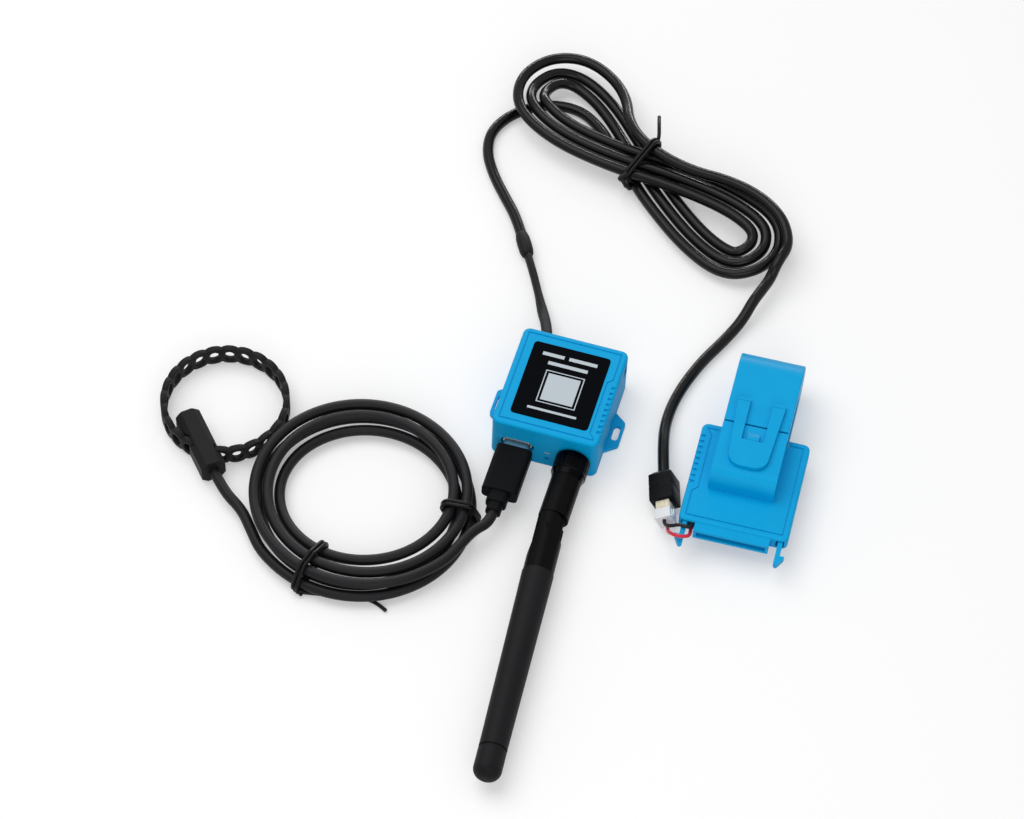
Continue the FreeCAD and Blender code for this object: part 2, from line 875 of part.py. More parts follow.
def make_jack_nut():
    start = front_y + housing_wall + jack_flange_thickness + 3 * seat_gap
    points = []
    for i in range(6):
        turn = math.radians(60 * i + 30)
        points.append(V(antenna_x + lock_nut_radius * math.cos(turn), start,
                        antenna_level + lock_nut_radius * math.sin(turn)))
    nut = prism(points, V(0, lock_nut_thickness, 0))
    return one_solid(nut.cut(rod(V(antenna_x, start - past, antenna_level), V(0, 1, 0),
                                 jack_radius + seat_gap, lock_nut_thickness + 2 * past)))


def make_antenna_nut():
    """The knurled coupling nut, with its glossy chamfered skirt."""
    outer_y = front_y - nut_stand_off
    axis = V(0, -1, 0)
    band = rod(V(antenna_x, outer_y, antenna_level), axis, knurl_nut_radius, knurl_band_length)
    rim = [e for e in band.Edges if len(e.Vertexes) == 1]
    band = band.makeChamfer(knurl_chamfer, rim)
    skirt = Part.makeCone(knurl_nut_radius - skirt_steps[0], knurl_nut_radius - skirt_steps[1],
                          knurl_nut_length - knurl_band_length + skirt_overlap,
                          V(antenna_x, outer_y - knurl_band_length + skirt_overlap,
                            antenna_level), axis)
    nut = band.fuse(skirt)
    grooves = []
    for i in range(knurl_count):
        turn = 2 * math.pi * i / knurl_count
        out = V(math.cos(turn), 0, math.sin(turn))
        centre = V(antenna_x, outer_y + knurl_end, antenna_level) + out * (knurl_nut_radius + knurl_offset)
        grooves.append(rod(centre, axis, knurl_depth + knurl_offset,
                           knurl_band_length - knurl_end))
    nut = nut.cut(Part.makeCompound(grooves))
    nut = nut.cut(rod(V(antenna_x, outer_y + past, antenna_level), axis, jack_radius + turn_gap,
                      jack_reach - nut_stand_off + past + nut_bore_extra))
    nut = nut.cut(rod(V(antenna_x, outer_y + past, antenna_level), axis, collar_neck_radius + turn_gap,
                      knurl_nut_length + 2 * past))
    return one_solid(nut.removeSplitter())


def make_antenna_stem():
    """The fixed collar: neck inside the nut, round stem, and the fork of the hinge."""
    axis = V(0, -1, 0)
    neck_start = front_y - jack_reach - fit_gap
    stem_start = front_y - nut_stand_off - knurl_nut_length - 2 * turn_gap
    neck = rod(V(antenna_x, neck_start, antenna_level), axis, collar_neck_radius,
               neck_start - stem_start + past)
    stem = rod(V(antenna_x, stem_start, antenna_level), axis, stem_radius,
               stem_start - stem_end_y)
    tongue = block(antenna_x - tongue_half - eye_extra, antenna_x + tongue_half + eye_extra,
                   stem_end_y - pivot_from_stem_end, stem_end_y + past / 2,
                   antenna_level - tongue_half, antenna_level + tongue_half)
    eye = rod(V(antenna_x, pivot_y, antenna_level - tongue_half), V(0, 0, 1),
              tongue_half + eye_extra, 2 * tongue_half)
    stem = neck.fuse([stem, tongue, eye]).removeSplitter()
    pin = rod(V(antenna_x, pivot_y, antenna_level - cut_reach), V(0, 0, 1),
              pivot_pin_radius + slip, 2 * cut_reach)
    return one_solid(stem.cut(pin))


def make_antenna_knuckle():
    """The swinging half of the hinge: two cheeks over the tongue."""
    axis = V(0, -1, 0)
    start = stem_end_y - knuckle_gap
    body = rod(V(antenna_x, start, antenna_level), axis, stem_radius, start - knuckle_end_y)
    clear = tongue_half + eye_extra + fork_gap
    cavity = block(antenna_x - stem_radius - past, antenna_x + stem_radius + past,
                   pivot_y - clear, start + past,
                   antenna_level - tongue_half - fork_gap, antenna_level + tongue_half + fork_gap)
    body = body.cut(cavity)
    keep = pivot_from_stem_end - knuckle_gap
    sweep = rod(V(antenna_x, pivot_y, antenna_level - cut_reach), V(0, 0, 1), keep,
                2 * cut_reach)
    front_half = block(antenna_x, antenna_x + stem_radius + past, pivot_y, start + past,
                       antenna_level - 10, antenna_level + cut_reach)
    body = body.cut(front_half.cut(sweep))
    deep, flat_end, ramp_end = knuckle_flat
    side_x = antenna_x - stem_radius
    low = antenna_level - cut_reach
    notch = block(side_x - past, side_x + deep, pivot_y - flat_end,
                  start + past, low, antenna_level + cut_reach)
    notch = notch.fuse(prism([V(side_x + deep, pivot_y - flat_end, low),
                              V(side_x, pivot_y - ramp_end, low),
                              V(side_x - past, pivot_y - ramp_end, low),
                              V(side_x - past, pivot_y - flat_end, low)],
                             V(0, 0, 2 * cut_reach)))
    body = body.cut(notch)
    body = body.cut(rod(V(antenna_x, pivot_y, antenna_level - cut_reach), V(0, 0, 1),
                        pivot_pin_radius + slip, 2 * cut_reach))
    body = body.cut(rod(V(antenna_x, knuckle_end_y - past, antenna_level), V(0, 1, 0),
                        radiator_radius + fit_gap, past + radiator_socket))
    return one_solid(body.removeSplitter())


def make_hinge_pin():
    long = 2 * stem_radius - fit_gap
    return rod(V(antenna_x, pivot_y, antenna_level - long / 2), V(0, 0, 1), pivot_pin_radius,
               long)


def make_whip_sleeve():
    axis = V(0, -1, 0)
    sleeve = Part.makeCone(sleeve_root_radius, sleeve_tip_radius, sleeve_length,
                           V(antenna_x, knuckle_end_y, antenna_level), axis)
    end = rod(V(antenna_x, knuckle_end_y + past, antenna_level), axis, radiator_radius + fit_gap,
              past + sleeve_length - sleeve_end_wall)
    return one_solid(sleeve.cut(end))


def make_whip_tip():
    axis = V(0, -1, 0)
    cap = rod(V(antenna_x, sleeve_end_y, antenna_level), axis, sleeve_tip_radius,
              tip_cap_length)
    rim = [e for e in cap.Edges if len(e.Vertexes) == 1
           and abs(e.CenterOfMass.y - (sleeve_end_y - tip_cap_length)) < slip]
    cap = cap.makeFillet(sleeve_tip_radius * tip_roundness, rim)
    ring_y = sleeve_end_y - tip_groove_from_end
    ring = rod(V(antenna_x, ring_y, antenna_level), axis, sleeve_tip_radius + past,
               tip_groove_width)
    ring = ring.cut(rod(V(antenna_x, ring_y + past, antenna_level), axis,
                        sleeve_tip_radius - tip_groove_depth, tip_groove_width + 2 * past))
    return one_solid(cap.cut(ring))


def make_radiator():
    axis = V(0, -1, 0)
    return rod(V(antenna_x, knuckle_end_y + radiator_socket - 5 * fit_gap, antenna_level), axis,
               radiator_radius, sleeve_length + radiator_socket - 35 * fit_gap)


# Current transformer

def head_profile(y_back, low, high, radius, inset):
    """Side outline of the jaw: square at the split, round at the far end."""
    y1 = jaw_end - inset
    r = radius - inset
    k = r * (1 - math.sqrt(0.5))
    edges = [
        Part.LineSegment(V(0, y_back, low), V(0, y1 - r, low)).toShape(),
        Part.Arc(V(0, y1 - r, low), V(0, y1 - k, low + k), V(0, y1, low + r)).toShape(),
        Part.LineSegment(V(0, y1, low + r), V(0, y1, high - r)).toShape(),
        Part.Arc(V(0, y1, high - r), V(0, y1 - k, high - k), V(0, y1 - r, high)).toShape(),
        Part.LineSegment(V(0, y1 - r, high), V(0, y_back, high)).toShape(),
        Part.LineSegment(V(0, y_back, high), V(0, y_back, low)).toShape()]
    return Part.Face(Part.Wire(edges))


def window_profile(y_back, outset):
    low = window_low - outset
    high = window_high + outset
    r = (high - low) / 2
    y1 = window_end + outset
    edges = [
        Part.LineSegment(V(0, y_back, low), V(0, y1 - r, low)).toShape(),
        Part.Arc(V(0, y1 - r, low), V(0, y1, low + r), V(0, y1 - r, high)).toShape(),
        Part.LineSegment(V(0, y1 - r, high), V(0, y_back, high)).toShape(),
        Part.LineSegment(V(0, y_back, high), V(0, y_back, low)).toShape()]
    return Part.Face(Part.Wire(edges))


def along_x(face, half_width, middle=head_x):
    moved = face.copy()
    moved.translate(V(middle - half_width, 0, 0))
    return moved.extrude(V(2 * half_width, 0, 0))


def make_upper_jaw():
    outer = along_x(head_profile(jaw_front, 0, head_height, jaw_end_radius, 0), head_half)
    bottom_front = [e for e in outer.Edges
                    if all(abs(v.Point.y - jaw_front) < 1e-6 and abs(v.Point.z) < 1e-6
                           for v in e.Vertexes)]
    outer = outer.makeFillet(hinge_radius, bottom_front)
    long_rims = [e for e in outer.Edges
                 if all(abs(v.Point.z - head_height) < 1e-6 for v in e.Vertexes)
                 and abs(e.tangentAt(e.FirstParameter).y) > 0.9]
    outer = outer.makeFillet(jaw_rim, long_rims)
    outer = outer.cut(along_x(window_profile(jaw_front - past, 0), head_half + past))
    cavity_half = core_width / 2 + core_gap
    hollow = along_x(head_profile(jaw_front - past, head_wall, head_height - head_wall,
                                  jaw_end_radius, head_wall), cavity_half)
    hollow = hollow.cut(along_x(window_profile(jaw_front - 2 * past, head_wall), cavity_half + past))
    jaw = outer.cut(hollow)
    for side in (-1, 1):
        inner = head_x + side * (head_half - hinge_ear_width - hinge_clear)
        outer_x = head_x + side * (head_half + past)
        jaw = jaw.cut(block(min(inner, outer_x), max(inner, outer_x), jaw_front - past,
                            hinge_y + hinge_radius + hinge_sweep_gap, -past,
                            2 * hinge_radius + hinge_sweep_gap))
    jaw = jaw.cut(rod(V(head_left - past, hinge_y, hinge_z), V(1, 0, 0), hinge_pin_radius + turn_gap,
                      head_width + 2 * past))
    for side in (-1, 1):
        arm = head_x + side * (latch_outer + latch_inner) / 4
        wide = (latch_outer - latch_inner) / 4
        pad = block(arm - wide, arm + wide, latch_root + latch_gap, latch_root + pad_length,
                    head_height - pad_depth, latch_high - fit_gap)
        jaw = jaw.fuse(pad)
    return one_solid(jaw.removeSplitter())


def make_upper_core():
    half = core_width / 2
    inset = head_wall + core_gap
    outer = along_x(head_profile(jaw_front - pole_reach, inset, head_height - inset,
                                 jaw_end_radius, inset), half)
    core = outer.cut(along_x(window_profile(jaw_front - past, inset), half + past))
    return one_solid(core)


def make_lower_core():
    half = core_width / 2
    back = split_y + lower_pole_reach
    front = split_y - core_leg_reach
    outer = block(head_x - half, head_x + half, front, back, core_low[0], core_high[1])
    gap = block(head_x - half - past, head_x + half + past, front + core_leg, back + past,
                core_low[1], core_high[0])
    return one_solid(outer.cut(gap))


def web_edges():
    front = split_y - core_leg_reach
    return front, front + core_leg


def make_bobbin():
    front, back = web_edges()
    half = core_width / 2
    low = core_low[1] + core_gap
    high = core_high[0] - core_gap
    wall = bobbin_wall
    side, ahead, behind = flange_reach
    tube = block(head_x - half - wall, head_x + half + wall, front - wall, back + wall, low, high)
    flanges = []
    for z in (low, high - wall):
        flanges.append(block(head_x - half - side, head_x + half + side, front - ahead,
                             back + behind, z, z + wall))
    bobbin = tube.fuse(flanges).removeSplitter()
    bore = block(head_x - half - core_gap, head_x + half + core_gap, front - core_gap,
                 back + core_gap, low - past, high + past)
    return one_solid(bobbin.cut(bore))


def make_winding():
    front, back = web_edges()
    half = core_width / 2
    low = core_low[1] + core_gap + bobbin_wall + winding_gap
    high = core_high[0] - core_gap - bobbin_wall - winding_gap
    inside = bobbin_wall + winding_gap
    side = flange_reach[0] - winding_gap
    outer = block(head_x - half - side, head_x + half + side,
                  front - flange_reach[1] + winding_gap,
                  back + flange_reach[2] - 2 * winding_gap, low, high)
    outer = outer.makeFillet(winding_corner, upright_edges(outer))
    inner = block(head_x - half - inside, head_x + half + inside, front - inside,
                  back + inside, low - past, high + past)
    return one_solid(outer.cut(inner))


def plate_outline(inset):
    """Line of the plate's groove, stepped inwards beside the ribs of its left edge."""
    x = plate_half_w - inset
    y = plate_half_d - inset
    ribs_front = plate_half_d - rib_first_from_front - rib_count * rib_pitch
    ribs_back = plate_half_d - rib_first_from_front + rib_pitch
    inner = x - groove_step
    return [V(-x, y, 0), V(-x, ribs_back, 0), V(-inner, ribs_back - groove_step, 0),
            V(-inner, ribs_front, 0), V(-x, ribs_front - groove_step, 0), V(-x, -y, 0),
            V(x, -y, 0), V(x, y, 0)]


def jaw_notch():
    wide = head_half + notch_gap
    return block(head_x - wide, head_x + wide, split_y, plate_half_d + past, -past, head_height + past)


def head_cavity():
    return block(head_left + head_side_wall, head_right - head_side_wall,
                 head_front + head_front_wall, split_y - head_wall,
                 head_wall, head_height - head_wall)


def pole_slots():
    half = core_width / 2 + core_gap / 2
    slots = []
    for low, high in (core_low, core_high):
        slots.append(block(head_x - half, head_x + half, split_y - 3 * past, split_y + past,
                           low - core_gap / 2, high + core_gap / 2))
    return slots


def leg_openings():
    slots = []
    for side in (-1, 1):
        inner = side * (leg_x - leg_thickness / 2 - leg_slot_gap - leg_slot_extra)
        outer = side * (leg_x + leg_thickness / 2 + leg_slot_gap)
        slots.append(block(min(inner, outer), max(inner, outer), -plate_half_d - past,
                           -plate_half_d + plate_wall + past / 2,
                           leg_low - leg_slot_gap, leg_high + leg_slot_gap))
    return slots


def lead_opening():
    return block(lead_slot_x - lead_slot_width / 2, lead_slot_x + lead_slot_width / 2,
                 -plate_half_d - past, -plate_half_d + plate_wall + past / 2,
                 plate_bottom + plate_skin - fit_gap, plate_top - plate_skin + slip)


def make_clamp_cover():
    """Upper shell: the flat plate's top and the raised block over the lower core."""
    shell = rounded_block(-plate_half_w, plate_half_w, -plate_half_d, plate_half_d,
                          plate_seam, plate_top, plate_corner)
    shell = shell.makeFillet(plate_edge, edges_at_level(shell, plate_top))
    raised = block(head_left, head_right, head_front, split_y, plate_seam, head_height)
    brow = [e for e in raised.Edges
            if all(abs(v.Point.y - head_front) < 1e-6 and abs(v.Point.z - head_height) < 1e-6
                   for v in e.Vertexes)]
    raised = raised.makeFillet(head_top_edge, brow)
    shell = shell.fuse(raised).removeSplitter()
    wall = plate_wall
    cavity = block(-plate_half_w + wall, plate_half_w - wall, -plate_half_d + wall,
                   plate_half_d - wall, plate_seam - past, plate_top - plate_skin)
    cavity = cavity.cut(block(head_left - head_side_wall, head_right + head_side_wall, split_y - head_wall,
                              plate_half_d, 0, head_height))
    shell = shell.cut(cavity)
    inner = head_cavity()
    room = [e for e in inner.Edges
            if all(abs(v.Point.y - head_front - head_front_wall) < 1e-6
                   and abs(v.Point.z - head_height + head_wall) < 1e-6 for v in e.Vertexes)]
    inner = inner.makeFillet(head_top_edge - head_front_wall, room)
    shell = shell.cut(inner).cut(jaw_notch())
    for slot in pole_slots() + leg_openings() + [lead_opening()]:
        shell = shell.cut(slot)
    shell = shell.cut(groove_ring(groove_inset, plate_top, groove_depth, plate_outline).cut(
        block(head_left - past, head_right + past, head_front, plate_half_d, 0, head_height)))
    for i in range(rib_count):
        y = plate_half_d - rib_first_from_front - i * rib_pitch
        shell = shell.cut(block(-plate_half_w - past, -plate_half_w + groove_inset, y - rib_width, y,
                                plate_top - rib_depth, plate_top + past))
    tooth_x = head_x - catch_width / 2
    tooth_y = latch_window_front + catch_gap
    low = head_height - fit_gap
    high = head_height + catch_height
    tooth = prism([V(tooth_x, tooth_y, low), V(tooth_x, tooth_y, high),
                   V(tooth_x, tooth_y + catch_depth * catch_flat, high),
                   V(tooth_x, tooth_y + catch_depth, low)],
                  V(catch_width, 0, 0))
    return one_solid(shell.fuse(tooth).removeSplitter())


def make_clamp_tray():
    """Lower shell: the plate's underside, the body that it stands on, spigot and hinge ears."""
    wall = plate_wall
    shell = rounded_block(-plate_half_w, plate_half_w, -plate_half_d, plate_half_d,
                          plate_bottom, plate_seam, plate_corner)
    body = block(head_left, head_right, head_front, split_y, 0, plate_seam)
    body = body.makeFillet(plate_edge, upright_edges(body, None)[:2])
    shell = shell.fuse(body).removeSplitter()
    cavity = block(-plate_half_w + wall, plate_half_w - wall, -plate_half_d + wall,
                   plate_half_d - wall, plate_bottom + plate_skin, plate_seam + past)
    cavity = cavity.cut(block(head_left - head_side_wall, head_right + head_side_wall, split_y - head_wall,
                              plate_half_d, 0, head_height))
    shell = shell.cut(cavity).cut(head_cavity()).cut(jaw_notch())
    spigot = block(-spigot_half_width, spigot_half_width, -plate_half_d - spigot_reach,
                   -plate_half_d + spigot_overlap, plate_bottom, plate_seam)
    hollow = block(-spigot_half_width + spigot_wall, spigot_half_width - spigot_wall,
                   -plate_half_d - spigot_reach - past, -plate_half_d + past,
                   plate_bottom + spigot_wall, plate_seam + past)
    shell = shell.fuse(spigot).cut(hollow)
    for side in (-1, 1):
        edge = side * (leg_x + leg_post[0])
        inner = side * (leg_x - leg_post[0])
        root_y = -plate_half_d + leg_root_depth
        shell = shell.fuse(block(min(edge, inner), max(edge, inner), root_y + fit_gap,
                                 root_y + leg_post[1], plate_bottom + plate_skin - fit_gap,
                                 plate_seam))
    ears = []
    for side in (-1, 1):
        inner = head_x + side * (head_half - hinge_ear_width)
        outer = head_x + side * head_half
        low_x = min(inner, outer)
        ear = rod(V(low_x, hinge_y, hinge_z), V(1, 0, 0), hinge_radius, hinge_ear_width)
        neck = block(low_x, low_x + hinge_ear_width, split_y - past / 2, hinge_y, 0,
                     2 * hinge_radius)
        ears.append(ear.fuse(neck).removeSplitter())
    shell = shell.fuse(ears).removeSplitter()
    shell = shell.cut(rod(V(head_left - past, hinge_y, hinge_z), V(1, 0, 0),
                          hinge_pin_radius + seat_gap, head_width + 2 * past))
    for slot in pole_slots() + leg_openings() + [lead_opening()]:
        shell = shell.cut(slot)
    return one_solid(shell.removeSplitter())


def make_spigot_lip():
    """Upper half of the hollow spigot, part of the cover."""
    lip = block(-spigot_half_width, spigot_half_width, -plate_half_d - spigot_reach,
                -plate_half_d + spigot_overlap, plate_seam, plate_top - spigot_step)
    hollow = block(-spigot_half_width + spigot_wall, spigot_half_width - spigot_wall,
                   -plate_half_d - spigot_reach - past, -plate_half_d + past,
                   plate_seam - past, plate_top - spigot_step - spigot_wall)
    return lip.cut(hollow)


def make_hinge_pins():
    inner = core_width / 2 + 2 * core_gap
    outer = head_half - fit_gap
    pins = []
    for side in (-1, 1):
        a = head_x + side * inner
        b = head_x + side * outer
        pins.append(rod(V(min(a, b), hinge_y, hinge_z), V(1, 0, 0), hinge_pin_radius,
                        abs(b - a)))
    return Part.makeCompound([at_clamp(pin) for pin in pins])


def make_latch_tab():
    half_o = latch_outer / 2
    half_i = latch_inner / 2
    half_e = latch_end_width / 2
    outline = [V(-half_o, latch_root, 0), V(-half_i, latch_root, 0),
               V(-half_i, latch_window_front, 0), V(half_i, latch_window_front, 0),
               V(half_i, latch_root, 0), V(half_o, latch_root, 0),
               V(half_e, latch_end, 0), V(-half_e, latch_end, 0)]
    tab = prism([p + V(head_x, 0, latch_low) for p in outline], V(0, 0, latch_thickness))
    corners = [e for e in upright_edges(tab)
               if e.Vertexes[0].Point.y < latch_end + fit_gap]
    tab = tab.makeFillet(latch_end_corner, corners)
    return one_solid(tab)


def make_winding_terminal():
    """Solder strip inside the plate where the two leads end."""
    left, right, deep = terminal_reach
    front = terminal_front
    return block(lead_slot_x - left, lead_slot_x + right, front, front + deep,
                 plate_bottom + plate_skin, plate_top - plate_skin)


def make_snap_leg(side):
    """A spring leg: its root lies inside the plate, its hook faces outwards at the tip."""
    x0 = leg_x - leg_thickness / 2
    x1 = leg_x + leg_thickness / 2
    root_y = -plate_half_d + leg_root_depth
    tip_y = -plate_half_d - leg_reach
    hook_y = tip_y + leg_hook_length
    outline = [V(x0, root_y, 0), V(x1, root_y, 0), V(x1, hook_y, 0), V(x1 + leg_hook, hook_y, 0),
               V(x1 + leg_hook * hook_lean, hook_y - tip_bevel, 0), V(x1, tip_y + tip_bevel, 0),
               V(x1 - tip_bevel, tip_y, 0), V(x0 + tip_bevel, tip_y, 0),
               V(x0, tip_y + tip_bevel, 0)]
    points = [V(side * p.x, p.y, leg_low) for p in outline]
    return prism(points, V(0, 0, leg_height))


# Leads, connector and probe

def connector_box(start, length, width, height):
    """A box on the connector's axis, rolled about it."""
    box = block(-width / 2, width / 2, -length, 0, -height / 2, height / 2)
    yaw = math.degrees(math.atan2(connector_heading.y, connector_heading.x)) + 90
    turn = FreeCAD.Rotation(V(0, 0, 1), yaw).multiply(
        FreeCAD.Rotation(V(0, 1, 0), -connector_roll))
    box.Placement = FreeCAD.Placement(start, turn)
    return box


def connector_point(along):
    return connector_start + connector_heading.normalize() * along


def make_connector_block():
    box = block(-block_side / 2, block_side / 2, -block_length, 0, -block_side / 2,
                block_side / 2)
    bevels = [e for e in box.Edges
              if all(abs(v.Point.y) < 1e-6 for v in e.Vertexes)]
    box = box.makeChamfer(block_bevel, bevels)
    yaw = math.degrees(math.atan2(connector_heading.y, connector_heading.x)) + 90
    turn = FreeCAD.Rotation(V(0, 0, 1), yaw).multiply(
        FreeCAD.Rotation(V(0, 1, 0), -connector_roll))
    box.Placement = FreeCAD.Placement(connector_start, turn)
    return box


def probe_axis():
    return (probe_far - probe_near).normalize()


def make_probe_head():
    """The moulded probe body with a slot for its strap."""
    axis = probe_axis()
    length = (probe_far - probe_near).Length
    wide, tall = probe_section
    c = probe_chamfer
    section = [(-wide / 2 + c, -tall / 2), (wide / 2 - c, -tall / 2), (wide / 2, -tall / 2 + c),
               (wide / 2, tall / 2 - c), (wide / 2 - c, tall / 2), (-wide / 2 + c, tall / 2),
               (-wide / 2, tall / 2 - c), (-wide / 2, -tall / 2 + c)]
    body = prism([V(x, 0, z) for x, z in section], V(0, length, 0))
    ends = [e for e in body.Edges
            if all(abs(v.Point.y - length) < 1e-6 for v in e.Vertexes)]
    body = body.makeChamfer(probe_end_chamfer, ends)
    body = body.cut(rod(V(0, length * sensor_start, 0), V(0, 1, 0), sensor_radius + slip,
                        length))
    yaw = math.degrees(math.atan2(axis.y, axis.x)) - 90
    body.Placement = FreeCAD.Placement(probe_near, FreeCAD.Rotation(V(0, 0, 1), yaw))
    channel = strap_band(strap_thickness + 2 * strap_gap, strap_level - strap_gap,
                         strap_height + 2 * strap_gap)
    return one_solid(body.cut(channel))


def make_temperature_sensor():
    axis = probe_axis()
    length = (probe_far - probe_near).Length
    start = probe_near + axis * (length * sensor_start + slip)
    return rod(start, axis, sensor_radius, length * (1 - sensor_start) - 2 * slip)


def strap_band(thickness, level, height):
    centre = V(strap_centre.x, strap_centre.y, level)
    outer = rod(centre, V(0, 0, 1), strap_radius + thickness / 2, height)
    return outer.cut(rod(centre, V(0, 0, 1), strap_radius - thickness / 2, height))


def make_strap():
    band = strap_band(strap_thickness, strap_level, strap_height)
    middle = strap_level + strap_height / 2
    cutters = []
    for i in range(strap_hole_count):
        turn = 2 * math.pi * i / strap_hole_count
        out = V(math.cos(turn), math.sin(turn), 0)
        hole_start = V(strap_centre.x, strap_centre.y, middle) + out * (strap_radius - strap_cut)
        cutters.append(rod(hole_start, out, strap_hole_radius, 2 * strap_cut))
        half = turn + math.pi / strap_hole_count
        way = V(math.cos(half), math.sin(half), 0)
        for z in (strap_level - scallop_outset, strap_level + strap_height + scallop_outset):
            start = V(strap_centre.x, strap_centre.y, z) + way * (strap_radius - strap_cut)
            cutters.append(rod(start, way, strap_scallop_depth + scallop_outset, 2 * strap_cut))
    return one_solid(band.cut(Part.makeCompound(cutters)))


def oval_bar(y_start, length, width, height, level):
    bar = block(port_x - width / 2, port_x + width / 2, y_start - length, y_start,
                level - height / 2, level + height / 2)
    long_edges = [e for e in bar.Edges if abs(e.tangentAt(e.FirstParameter).y) > 0.99]
    radius = min(plug_body_corner, height / 2 - plug_corner_flat)
    return bar.makeFillet(radius, long_edges)


def make_plug_body():
    start = front_y - plug_stand_off
    body = oval_bar(start, plug_body_length, plug_body_width, plug_body_height, port_level)
    first_y = start - plug_body_length
    first = oval_bar(first_y + fit_gap, plug_neck_one[2] + fit_gap, plug_neck_one[0], plug_neck_one[1],
                     port_level)
    second_y = first_y - plug_neck_one[2]
    second = oval_bar(second_y + fit_gap, plug_neck_two[2] + fit_gap, plug_neck_two[0],
                      plug_neck_two[1], port_level)
    return one_solid(body.fuse([first, second]).removeSplitter())


def plug_end():
    y = front_y - plug_stand_off - plug_body_length - plug_neck_one[2] - plug_neck_two[2]
    return V(port_x, y, port_level)


def make_plug_shell():
    start = V(port_x, front_y - plug_stand_off, port_level)
    length = plug_stand_off + receptacle_set_back + plug_entry
    shell = slot_prism(start, plug_shell_width, plug_shell_height, length)
    bore = slot_prism(start + V(0, plug_shell_floor, 0), plug_shell_width - 2 * plug_shell_wall,
                      plug_shell_height - 2 * plug_shell_wall, length)
    return one_solid(shell.cut(bore))


# Probe cable coil: four turns, spiralling in on the upper layer and out on the lower one

coil_centre = V(coil_x, coil_y, 0)
coil_radius = 33.3
coil_turns_in = 2.0
coil_turns_out = 2.34
coil_start_angle = -20.0
coil_fan = 1.1
coil_stretch = 1.03
coil_tuck = 1.3
coil_lift = tie_diameter + soft_gap
coil_low = probe_diameter / 2 + coil_lift
coil_rise = probe_diameter + wound_gap
coil_pitch = probe_diameter + wound_gap
coil_descent = 0.5
tuck_from = 0.1
tuck_span = 0.3
untuck_from = 0.45
untuck_span = 0.4
shift_from = 0.28
stations_per_turn = 8


def smooth_step(value):
    share = min(1.0, max(0.0, value))
    return share * share * (3 - 2 * share)


def coil_point(turns):
    """Centre line of the coil after so many turns, clockwise from above."""
    total = coil_turns_in + coil_turns_out
    angle = math.radians(coil_start_angle) - 2 * math.pi * turns
    down = smooth_step((turns - coil_turns_in) / coil_descent)
    deepest = coil_pitch * coil_turns_in
    outward = coil_pitch * (total - turns)
    offset = coil_pitch * turns
    if turns > coil_turns_in:
        offset = deepest + (outward - deepest) * down
    tuck = smooth_step((turns - coil_turns_in + tuck_from) / tuck_span)
    untuck = smooth_step((turns - coil_turns_in - untuck_from) / untuck_span)
    radius = coil_radius - offset - coil_tuck * tuck * (1 - untuck)
    z = coil_low + coil_rise * (1 - down)
    shift = smooth_step((turns - coil_turns_in - shift_from) / untuck_span)
    fan = coil_fan * (1 - 2 * shift)
    return coil_centre + V(coil_stretch * radius * math.cos(angle),
                           radius * math.sin(angle) + fan, z)


def stations_of(curve, start, end, count):
    stations = []
    step = 1e-4
    for i in range(count + 1):
        at = start + (end - start) * i / count
        heading = (curve(at + step) - curve(at - step)).normalize()
        stations.append((curve(at), heading))
    return stations


def make_coil_edges():
    total = coil_turns_in + coil_turns_out
    stations = stations_of(coil_point, 0.0, total, round(total * stations_per_turn))
    first, first_way = stations[0]
    last, last_way = stations[-1]
    lead_in = Part.LineSegment(first - first_way * probe_diameter, first).toShape()
    lead_out = Part.LineSegment(last, last + last_way * probe_diameter).toShape()
    return [lead_in] + wound_edges(stations) + [lead_out], stations


# Extension cable hank: three crossed turns and one outer pass, tied at the waist

hank_centre = V(hank_x, hank_y, 0)
hank_axis_angle = -26.5
hank_left_swing = -7.0
hank_cross_angle = 22.0
hank_turns = 3
hank_gap = 0.8
hank_pitch = extension_diameter + hank_gap
hank_right_cap = 39.2
hank_right_half = 13.4
hank_left_cap = 37.5
hank_left_half = 7.5
hank_low = extension_diameter / 2 + tie_diameter + hank_tie_gap
hank_rise = extension_diameter + wound_gap
hank_high = hank_low + hank_rise
hank_third = hank_high + hank_rise
hank_top_pass = 4.6
hank_entry = 6.0
hank_over = [(-1.0, 1.5, -78), (1.0, -8.0, -80)]


def hank_world(x, y, z, heading, swing=0.0):
    turn = FreeCAD.Rotation(V(0, 0, 1), hank_axis_angle + swing)
    point = turn.multVec(V(x, y, 0)) + V(hank_centre.x, hank_centre.y, z)
    way = math.radians(heading)
    slope = turn.multVec(V(math.cos(way), math.sin(way), 0))
    return point, slope.normalize()


def waist_station(offset, heading, z):
    way = math.radians(heading)
    return hank_world(-math.sin(way) * offset, math.cos(way) * offset, z, heading)


